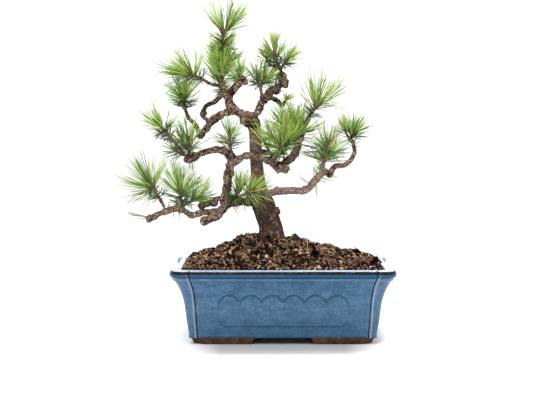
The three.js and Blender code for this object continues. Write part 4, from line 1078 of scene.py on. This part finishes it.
def growTuft(row, number, isMain, made):
    # One twig, the needle pairs round its leafy part on a spiral, and old short needles below them
    mass, path, leafy, pairs, opening, size, facing, widest, old = row
    rng = random.Random(foliage["seed"] * 100 + number)
    curve = framedCurve(path, foliage["spacing"])
    centres, run, along, side, up = curve
    bare = max(0, run[-1] - leafy)
    thick = foliage["twigRadius" if isMain else "shootRadius"]
    radii = np.interp(run, [0, bare, run[-1]], [thick, thick, thick * 0.75])
    made["twigs"].append((mass, *curve, radii))
    facing = unit(np.array(facing, float))

    def wayFrom(at, turn, tilt):
        outward = side[at] * math.cos(turn) + up[at] * math.sin(turn)
        across = np.cross(along[at], outward)
        way = along[at] * math.cos(tilt) + (outward + across * rng.uniform(-0.16, 0.16)) * math.sin(tilt)
        way += anyWay(rng) * foliage["jitter"]
        way[2] += foliage["lift"]
        return centres[at] + outward * radii[at] * 0.75, unit(way)

    placed = 0
    pairs = round(pairs * foliage["fullness"])
    for k in range(pairs * 3):
        if placed == pairs:
            break
        share = rng.random()
        at = min(len(run) - 1, int(np.searchsorted(run, bare + (run[-1] - bare) * share)))
        tilt = opening[1] + (opening[0] - opening[1]) * share
        tilt = math.radians(tilt * rng.uniform(*foliage["openings"]))
        root, way = wayFrom(at, k * foliage["spiral"] + rng.uniform(-0.3, 0.3), tilt)
        reach = foliage["needleLength"] * size * rng.uniform(*foliage["lengths"]) * (0.84 + 0.16 * share)
        turned = math.degrees(math.acos(min(1, way.dot(facing))))
        if turned > widest or not hasRoom(mass, root, root + way * reach):
            continue
        placed += 1
        # Darker shades near the foot of the leafy part and for needles that point down: partly older
        # growth, partly painted shade
        age = foliage["age"].get(mass, 0.2) + 0.3 * (1 - share) ** 2 - 0.14 * way[2]
        addPair(root, way, reach, pickShade(rng, age), rng, made)
        made["sheaths"].append((root, way, (1, 1, 4 * size), (0, 0, 0)))
    for k in range(round(old * foliage["oldPerMillimetre"])):
        at = int(np.searchsorted(run, max(0, bare - old * rng.random())))
        root, way = wayFrom(min(at, len(run) - 1), rng.uniform(0, 6.28), math.radians(rng.uniform(50, 100)))
        reach = foliage["oldLength"] * rng.uniform(*foliage["oldLengths"])
        if hasRoom(mass, root, root + way * reach):
            addPair(root, way, reach, rng.choice(["old", "old", "mature"]), rng, made)
    if pairs > 8:
        width, low, high = (1, 0.85, 1.1) if isMain else (0.7, 0.4, 0.6)
        made["buds"].append((path[-1], along[-1], (width, width, rng.uniform(low, high)), (0, 0, 0)))


def growStrays(row, number, made):
    path, radius, pairs, size = row
    rng = random.Random(foliage["straySeed"] + number)
    centres, run, along, side, up = framedCurve(path, foliage["spacing"])
    for _ in range(pairs):
        at = rng.randrange(len(run))
        turn = rng.uniform(0, 6.28)
        outward = side[at] * math.cos(turn) + up[at] * math.sin(turn)
        way = unit(outward + along[at] * rng.uniform(-0.6, 0.9) + np.array([0, 0, 0.35]))
        reach = foliage["needleLength"] * size * rng.uniform(*foliage["strayLengths"])
        addPair(centres[at] + outward * radius * 0.9, way, reach,
                rng.choice(["green", "green", "mature", "mature", "dry"]), rng, made)


def turnedShape(profile, turns, flat=1, twist=0):
    return skin([[(r * math.cos(t + twist * (k // 2)), r * math.sin(t + twist * (k // 2)) * flat, z)
                  for t in turns] for k, (z, r) in enumerate(profile)])


def needleShape():
    # A slim three-sided needle of unit length and width
    points, faces = turnedShape([(0, 0.4), (0.3, 0.5), (0.6, 0.47), (0.88, 0.3)], (0, 2.2, 4.1), 0.8)
    points[-1] = (0, 0, 1)
    return points, faces


def sheathShape():
    return turnedShape([(0, 0.7), (0.4, 0.75), (1, 0.45)], circle(4))


def budShape():
    # A pointed bud with a few rows of scales
    return turnedShape([(-1.5, 1.3), (0, 1.55), (1.2, 1.75), (1.3, 1.5), (3.2, 1.5), (3.3, 1.2), (5.2, 1.1),
                        (5.3, 0.85), (7, 0.6), (8.4, 0.2)], circle(8), twist=0.4)


def protoObject(name, shape):
    points, faces = shape
    along = np.clip(points[:, 2] / points[:, 2].max(), 0, 1)
    return metreObject(name, points / 1000, faces, {"lengthwise": along})


def sprayTree():
    tree, inputs = geometryTree("sprays", {"Leaf": "Object", "Material": "Material"})
    aimed = addNode(tree, "FunctionNodeAlignRotationToVector",
                    {"Vector": named(tree, "heading", "FLOAT_VECTOR")}, axis="Z").outputs[0]
    rotation = turnedBy(tree, aimed, (0, 0, 1), named(tree, "roll"))
    size = named(tree, "size", "FLOAT_VECTOR")
    leaves = instances(tree, inputs["Geometry"], inputs["Leaf"], rotation, size)
    square = sums(tree, "POWER", named(tree, "lengthwise"), 2.0)
    bent = moved(tree, leaves, stretched(tree, named(tree, "bow", "FLOAT_VECTOR"), square))
    finishTree(tree, bent, inputs["Material"])
    return tree


def spread(name, placings, leaf, tree, material):
    rng = random.Random(len(placings))
    points, headings, sizes, bows = [np.array([row[k] for row in placings], float) for k in range(4)]
    item = meshObject(name, points, [], {
        "heading": headings, "size": sizes, "bow": bows / 1000,
        "roll": [rng.uniform(0, 6.28) for _ in placings]})
    runTree(item, tree, leaf=leaf, material=material)
    for key in ("heading", "size", "bow", "roll", "lengthwise"):
        if key in item.data.attributes:
            item.data.attributes.remove(item.data.attributes[key])
    return item


def buildFoliage():
    made = {key: [] for key in [*needleShades, "sheaths", "buds", "twigs"]}
    seen = set()
    for number, row in enumerate(tufts):
        growTuft(row, number, row[0] not in seen, made)
        seen.add(row[0])
    for number, row in enumerate(strays):
        growStrays(row, number, made)
    for path in deadTwigs:
        curve = framedCurve(path, foliage["spacing"])
        radii = np.interp(curve[1], [0, curve[1][-1]], foliage["deadRadii"])
        made["twigs"].append(("dead", *curve, radii))
    tree = sprayTree()
    needle = protoObject("needleShape", needleShape())
    sheath = protoObject("sheathShape", sheathShape())
    bud = protoObject("budShape", budShape())
    names = ["foliage_" + mass for mass in massCentres]
    pieces = [("needles" + shade.title(), shade, needle, needleMaterials[shade]) for shade in needleShades]
    pieces.append(("needleSheaths", "sheaths", sheath, plain["needleSheath"]))
    pieces.append(("buds", "buds", bud, plain["buds"]))
    for name, key, shape, material in pieces:
        item = ride(spread(name, made[key], shape, tree, material), names)
        print(name, len(made[key]), "placed,", len(item.data.polygons), "faces")
    skins = [skin(tube(centres, side, up, radii, 12))
             for _, centres, _, _, side, up, radii in made["twigs"]]
    twigs = meshObject("twigs", *joinParts(skins))
    addBarkSpace(twigs, made["twigs"], lambda name: 1, lambda name: 0.5 if name == "dead" else 0)
    runTree(twigs, bpy.data.node_groups["barkRelief"], material=bark, **barkShape["twigRelief"])
    ride(twigs, names)
    for item in (needle, sheath, bud):
        bpy.data.objects.remove(item)


buildFoliage()
print("foliage made")


soil = {
    "voxel": 1.9, "lumps": ((30, 2.4), (13, 5.4), (6, 3.2)),
    "fibres": 240, "fallenNeedles": 40, "mossBlades": 18, "bitRoughness": 0.0048,
    # The lowest places for lumps, bits, fibres and fallen needles
    "lumpLevel": 86, "bitLevel": 84.5, "fibreLevel": 88, "needleLevel": 90,
    "mossyLumps": [(15, 0, 6.2), (8, 4, 5), (-99, -4, 4.4), (-55, 4, 4)],
    "fibreSeed": 21, "fibreArea": (-112, 112, -82, 60), "fibreLength": (8, 26), "fibreGirth": (0.25, 0.62),
    "needleSeed": 8, "needleLength": (10, 30), "bladeLength": (3, 9),
    "bladeSpots": [(-2, -34), (5, -31), (12, -26)],
    # Shape, number for a square centimetre, smallest and largest, slimness, flatness, tilt, colours
    "scatter": {
        "crumbs": ("crumb", 17.0, 1.2, 3.2, (0.6, 1), 0.8, 0.8,
                   ((0.001, 0.0005, 0.0003), (0.016, 0.008, 0.006), (0.245, 0.135, 0.095))),
        "shreds": ("shred", 5.0, 3.2, 9.5, (0.2, 0.4), 0.36, 1.0,
                   ((0.002, 0.001, 0.0007), (0.056, 0.026, 0.017), (0.530, 0.318, 0.228))),
        "clods": ("clod", 0.24, 5.5, 10, (0.6, 0.95), 0.7, 0.5,
                  ((0.002, 0.001, 0.0007), (0.034, 0.018, 0.013), (0.190, 0.112, 0.076))),
        "chipsTan": ("chip", 0.85, 3.0, 7.0, (0.5, 0.85), 0.45, 0.8,
                     ((0.110, 0.055, 0.032), (0.340, 0.205, 0.125), (0.560, 0.390, 0.250))),
        "chipsPale": ("chip", 0.16, 2.6, 5.0, (0.5, 0.85), 0.5, 0.7,
                      ((0.300, 0.220, 0.150), (0.580, 0.470, 0.340), (0.760, 0.680, 0.560))),
    },
}


def makeBits(name, dark, mid, pale):
    material, tree, shader = newMaterial(name)
    tint = weighed(tree, attribute(tree, "tint"), 0.62, grain(tree, 520, 4, 0.7), 0.42)
    colour = ramp(tree, tint, [(0.3, dark), (0.54, mid), (0.84, pale)])
    setInputs(tree, shader, {"Base Color": colour, "Roughness": 0.92, "Specular IOR Level": 0.05})
    bump(tree, shader, grain(tree, 1500, 4, 0.65), 0.6, 0.0008)
    return material


def soilTop():
    # The frame's own solid of soil, remeshed fine enough to be lumpy
    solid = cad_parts["soil"]
    ground = linked("soilGround", solid.data.copy())
    ground.matrix_world = solid.matrix_world
    shape = bmesh.new()
    shape.from_mesh(ground.data)
    bmesh.ops.remove_doubles(shape, verts=shape.verts, dist=1e-6)
    shape.to_mesh(ground.data)
    shape.free()
    fuse(ground, soil["voxel"])
    bake(ground)
    places = vertexPlaces(ground.data)
    top = places[:, 2] > soil["lumpLevel"]
    lift = np.zeros(len(places))
    for number, (size, height) in enumerate(soil["lumps"]):
        lift[top] += ripple(places[top], size, number + 1) * height
    lift *= np.clip((places[:, 2] - (soil["lumpLevel"] + 2)) / 6, 0.15, 1)
    places[:, 2] += lift
    ground.data.vertices.foreach_set("co", toFrame(places).astype(np.float32).ravel())
    # Near-black, partly as painted shade in the gaps between the bits
    ground.data.materials.clear()
    ground.data.materials.append(plain["dampEarth"])
    ground.data.update()
    return ground


def scatterTree():
    tree, inputs = geometryTree("scatterBits", {
        "Bit": "Object", "Density": "Float", "Smallest": "Float", "Largest": "Float", "Slimmest": "Float",
        "Widest": "Float", "Flatness": "Float", "Tilt": "Float", "Seed": "Int", "Material": "Material"})

    def chance(low, high, seed):
        return addNode(tree, "FunctionNodeRandomValue", {
            2: low, 3: high, "Seed": sums(tree, "ADD", inputs["Seed"], seed)}, data_type="FLOAT").outputs[1]

    def isOver(value, limit):
        return addNode(tree, "FunctionNodeCompare", {0: value, 1: limit},
                       operation="GREATER_THAN").outputs[0]

    normal = addNode(tree, "GeometryNodeInputNormal").outputs[0]
    place = addNode(tree, "GeometryNodeInputPosition").outputs[0]
    upward = isOver(apart(tree, normal)[2], 0.2)
    high = isOver(apart(tree, place)[2], soil["bitLevel"] / 1000)
    onTop = addNode(tree, "FunctionNodeBooleanMath", {0: upward, 1: high}, operation="AND").outputs[0]
    spots = addNode(tree, "GeometryNodeDistributePointsOnFaces", {
        "Mesh": inputs["Geometry"], "Selection": onTop, "Density": inputs["Density"],
        "Seed": inputs["Seed"]}).outputs
    tinted = stored(tree, spots[0], "tint", chance(0.0, 1.0, 3))
    spun = turnedBy(tree, spots["Rotation"], (0, 0, 1), chance(0.0, 6.283, 1))
    lean = sums(tree, "MULTIPLY", chance(-1.0, 1.0, 2), inputs["Tilt"])
    leaning = turnedBy(tree, spun, (0.3, 1, 0), lean)
    size = chance(inputs["Smallest"], inputs["Largest"], 4)
    width = sums(tree, "MULTIPLY", size, chance(inputs["Slimmest"], inputs["Widest"], 5))
    scale = together(tree, size, width, sums(tree, "MULTIPLY", size, inputs["Flatness"]))
    bits = instances(tree, tinted, inputs["Bit"], leaning, scale)
    # No two bits keep quite the same shape
    centred = vectors(tree, "SUBTRACT", noiseAt(tree, place, 300.0, 2.0)["Color"], (0.5, 0.5, 0.5))
    finishTree(tree, moved(tree, bits, stretched(tree, centred, soil["bitRoughness"])), inputs["Material"])
    return tree


def bitShape(kind):
    # A rough lump, or a shred that tapers to both ends and bends a little
    if kind == "shred":
        profile = ((-0.5, 0.35), (-0.3, 0.9), (-0.05, 0.75), (0.2, 1), (0.4, 0.7), (0.5, 0.2))
        points, faces = skin([[(x, r * math.cos(t) * 0.5 + 0.3 * x * x, r * math.sin(t) * 0.5 - 0.5 * x * x)
                               for t in circle(5)] for x, r in profile])
    else:
        ball, faces = ballShape({"crumb": 1, "chip": 2, "clod": 3}[kind], 0.5)
        points = [Vector(p) * (1 + 0.5 * noise.noise(Vector(p) * 4)) for p in ball]
    return metreObject(kind, points, faces, smooth=False)


def onGround(ground, x, y):
    spot = toFrame([[x, y, 200]])[0]
    hit, place, normal, _ = ground.ray_cast(spot, (0, 0, -1))
    return (fromFrame([place])[0], np.array(normal)) if hit else (None, None)


def layFibres(ground):
    # Thin roots and fibres that bend over the ground
    rng = random.Random(soil["fibreSeed"])
    left, right, front, back = soil["fibreArea"]
    parts = []
    while len(parts) < soil["fibres"]:
        x, y, heading = rng.uniform(left, right), rng.uniform(front, back), rng.uniform(0, 6.28)
        length, girth = rng.uniform(*soil["fibreLength"]), rng.uniform(*soil["fibreGirth"])
        path = []
        for _ in range(5):
            place, _ = onGround(ground, x, y)
            if place is None or place[2] < soil["fibreLevel"]:
                break
            path.append(place + np.array([0, 0, rng.uniform(0.2, 2.6)]))
            x += math.cos(heading) * length / 5
            y += math.sin(heading) * length / 5
            heading += rng.uniform(-0.7, 0.7)
        if len(path) == 5:
            centres, _, _, side, up = framedCurve(path, 1.6)
            parts.append(skin(tube(centres, side, up, girth, 5)))
    return meshObject("fibres", *joinParts(parts))


def layNeedles(ground, tree):
    # Needles fallen on the soil, and a few green blades by the trunk's foot
    rng = random.Random(soil["needleSeed"])
    fallen, blades = [], []
    needle = protoObject("needleShape", needleShape())
    for k in range(soil["fallenNeedles"]):
        near = k % 3 == 0
        x = rng.gauss(4, 14) if near else rng.uniform(-105, 105)
        y = rng.gauss(-22, 9) if near else rng.uniform(-80, 50)
        place, normal = onGround(ground, x, y)
        if place is None or place[2] < soil["needleLevel"]:
            continue
        way = unit(np.cross(normal, [rng.gauss(0, 1), rng.gauss(0, 1), 0.3]))
        length = rng.uniform(*soil["needleLength"])
        fallen.append((place + normal * 1.8 - way * length / 2, way, (1.3, 1.3, length), (0, 0, -1)))
    for _ in range(soil["mossBlades"]):
        x, y = rng.choice(soil["bladeSpots"])
        place, normal = onGround(ground, x + rng.gauss(0, 4), y + rng.gauss(0, 4))
        way = unit(normal + np.array([rng.gauss(0, 0.6), rng.gauss(0, 0.6), 0.5]))
        blades.append((place, way, (1.1, 1.1, rng.uniform(*soil["bladeLength"])), (0, 0, 0)))
    for name, rows, shade in (("fallenNeedles", fallen, "dry"), ("mossBlades", blades, "mature")):
        ride(spread(name, rows, needle, tree, needleMaterials[shade]), ["soil"])
    bpy.data.objects.remove(needle)


def buildSoil():
    ground = soilTop()
    tree = scatterTree()
    for number, (name, row) in enumerate(soil["scatter"].items()):
        kind, density, low, high, slim, flat, tilt, colours = row
        bit = bitShape(kind)
        item = linked(name, ground.data.copy())
        item.matrix_world = ground.matrix_world
        runTree(item, tree, bit=bit, density=density * 1e4, smallest=low / 1000, largest=high / 1000,
                slimmest=slim[0], widest=slim[1], flatness=flat, tilt=tilt, seed=number * 11 + 4,
                material=makeBits(name + "Finish", *colours))
        bpy.data.objects.remove(bit)
        ride(item, ["soil"])
        print(name, len(item.data.polygons), "faces")
    parts = [knobSkin(onGround(ground, x, y)[0] + (0, 0, radius * 0.2), radius)
             for x, y, radius in soil["mossyLumps"]]
    lumps = meshObject("mossyLumps", *joinParts(parts))
    lumps.data.materials.append(plain["mossyEarth"])
    ride(lumps, ["soil"])
    fibres = layFibres(ground)
    fibres.data.materials.append(plain["rootFibres"])
    ride(fibres, ["soil"])
    layNeedles(ground, bpy.data.node_groups["sprays"])
    ride(ground, ["soil"])


buildSoil()
print("soil made")


studio = {
    "camera": (-20, -1800, 271.8), "pitch": 3.217, "lens": 96.7,
    # The contact colour is the grey of a painted shadow before the pot
    "backdrop": (1, 1, 1), "contact": (0.385, 0.382, 0.386), "floorNear": (0.99, 0.99, 0.99),
    "floorFar": (0.58, 0.58, 0.58), "wall": (0.8, 0.8, 0.8),
    # The painted contact shadow's patch before the pot and where the floor starts to go grey, in metres
    "contactMiddle": -0.1, "contactHalfLength": 0.075, "farStart": 0.4,
    # Direction the light comes from, strength, spread in degrees
    "suns": {"keyLight": ((-0.3, -0.95, 1.1), 1.85, 26), "fillLight": ((0.7, -0.6, 1.4), 0.4, 70),
             "backLight": ((0.05, 0.35, 1.0), 1.7, 14)},
}


def sunLight(name, come, strength, width):
    light = bpy.data.lights.new(name, "SUN")
    light.energy = strength
    light.angle = math.radians(width)
    item = linked(name, light)
    item.location = Vector(come)
    item.rotation_euler = Vector(come).to_track_quat("Z", "Y").to_euler()


def buildFloor():
    # It sweeps up into a backdrop far behind
    rise = np.linspace(0, math.pi / 2, 13)
    profile = [(-6, 0), *zip(4 + np.sin(rise), 1 - np.cos(rise)), (5, 3)]
    points = [(x, y, z) for y, z in profile for x in (-6, 6)]
    floor = metreObject("floor", points, [(k, k + 1, k + 3, k + 2) for k in range(0, len(points) - 2, 2)])
    material, tree, shader = newMaterial("paleFloor")
    # Pale enough near the pot to burn out to white, washing out its shadows, but for a painted contact
    # shadow in the patch before the pot
    place = objectPlace(tree)
    x, y, z = apart(tree, place)
    ahead = sums(tree, "ABSOLUTE", sums(tree, "SUBTRACT", y, studio["contactMiddle"]))
    ahead = sums(tree, "SUBTRACT", sums(tree, "MULTIPLY", ahead, 20.0), 0.8, True)
    across = sums(tree, "ABSOLUTE", sums(tree, "SUBTRACT", x, float(potMiddle[0])))
    beside = rising(tree, across, studio["contactHalfLength"], 18.0, True)
    shadowPatch = sums(tree, "MULTIPLY", sums(tree, "SUBTRACT", 1.0, ahead), sums(tree, "SUBTRACT", 1.0, beside))
    distance = addNode(tree, "ShaderNodeVectorMath", {0: place}, operation="LENGTH").outputs["Value"]
    far = rising(tree, distance, studio["farStart"], 3.0, True)
    colour = blend(tree, shadowPatch, studio["floorNear"], studio["contact"])
    colour = blend(tree, far, colour, studio["floorFar"])
    colour = blend(tree, sums(tree, "MULTIPLY", z, 2.0, True), colour, studio["wall"])
    # No gloss, which would glare in a low view
    setInputs(tree, shader, {"Base Color": colour, "Specular IOR Level": 0, "Roughness": 0.6})
    floor.data.materials.append(material)


def buildStudio():
    buildFloor()
    world = bpy.data.worlds.new("softWhite")
    world.use_nodes = True
    setInputs(world.node_tree, world.node_tree.nodes["Background"],
              {"Color": opaque(studio["backdrop"]), "Strength": 1.0})
    bpy.context.scene.world = world

    for name, row in studio["suns"].items():
        sunLight(name, *row)

    camera = bpy.data.cameras.new("camera")
    camera.lens = studio["lens"]
    camera.sensor_width = 36
    camera.clip_start = 0.05
    camera.clip_end = 30
    item = linked("camera", camera)
    item.location = toFrame([studio["camera"]])[0]
    item.rotation_euler = (math.radians(90 - studio["pitch"]), 0, 0)
    bpy.context.scene.camera = item
    bpy.context.scene.view_settings.view_transform = "Standard"


buildStudio()
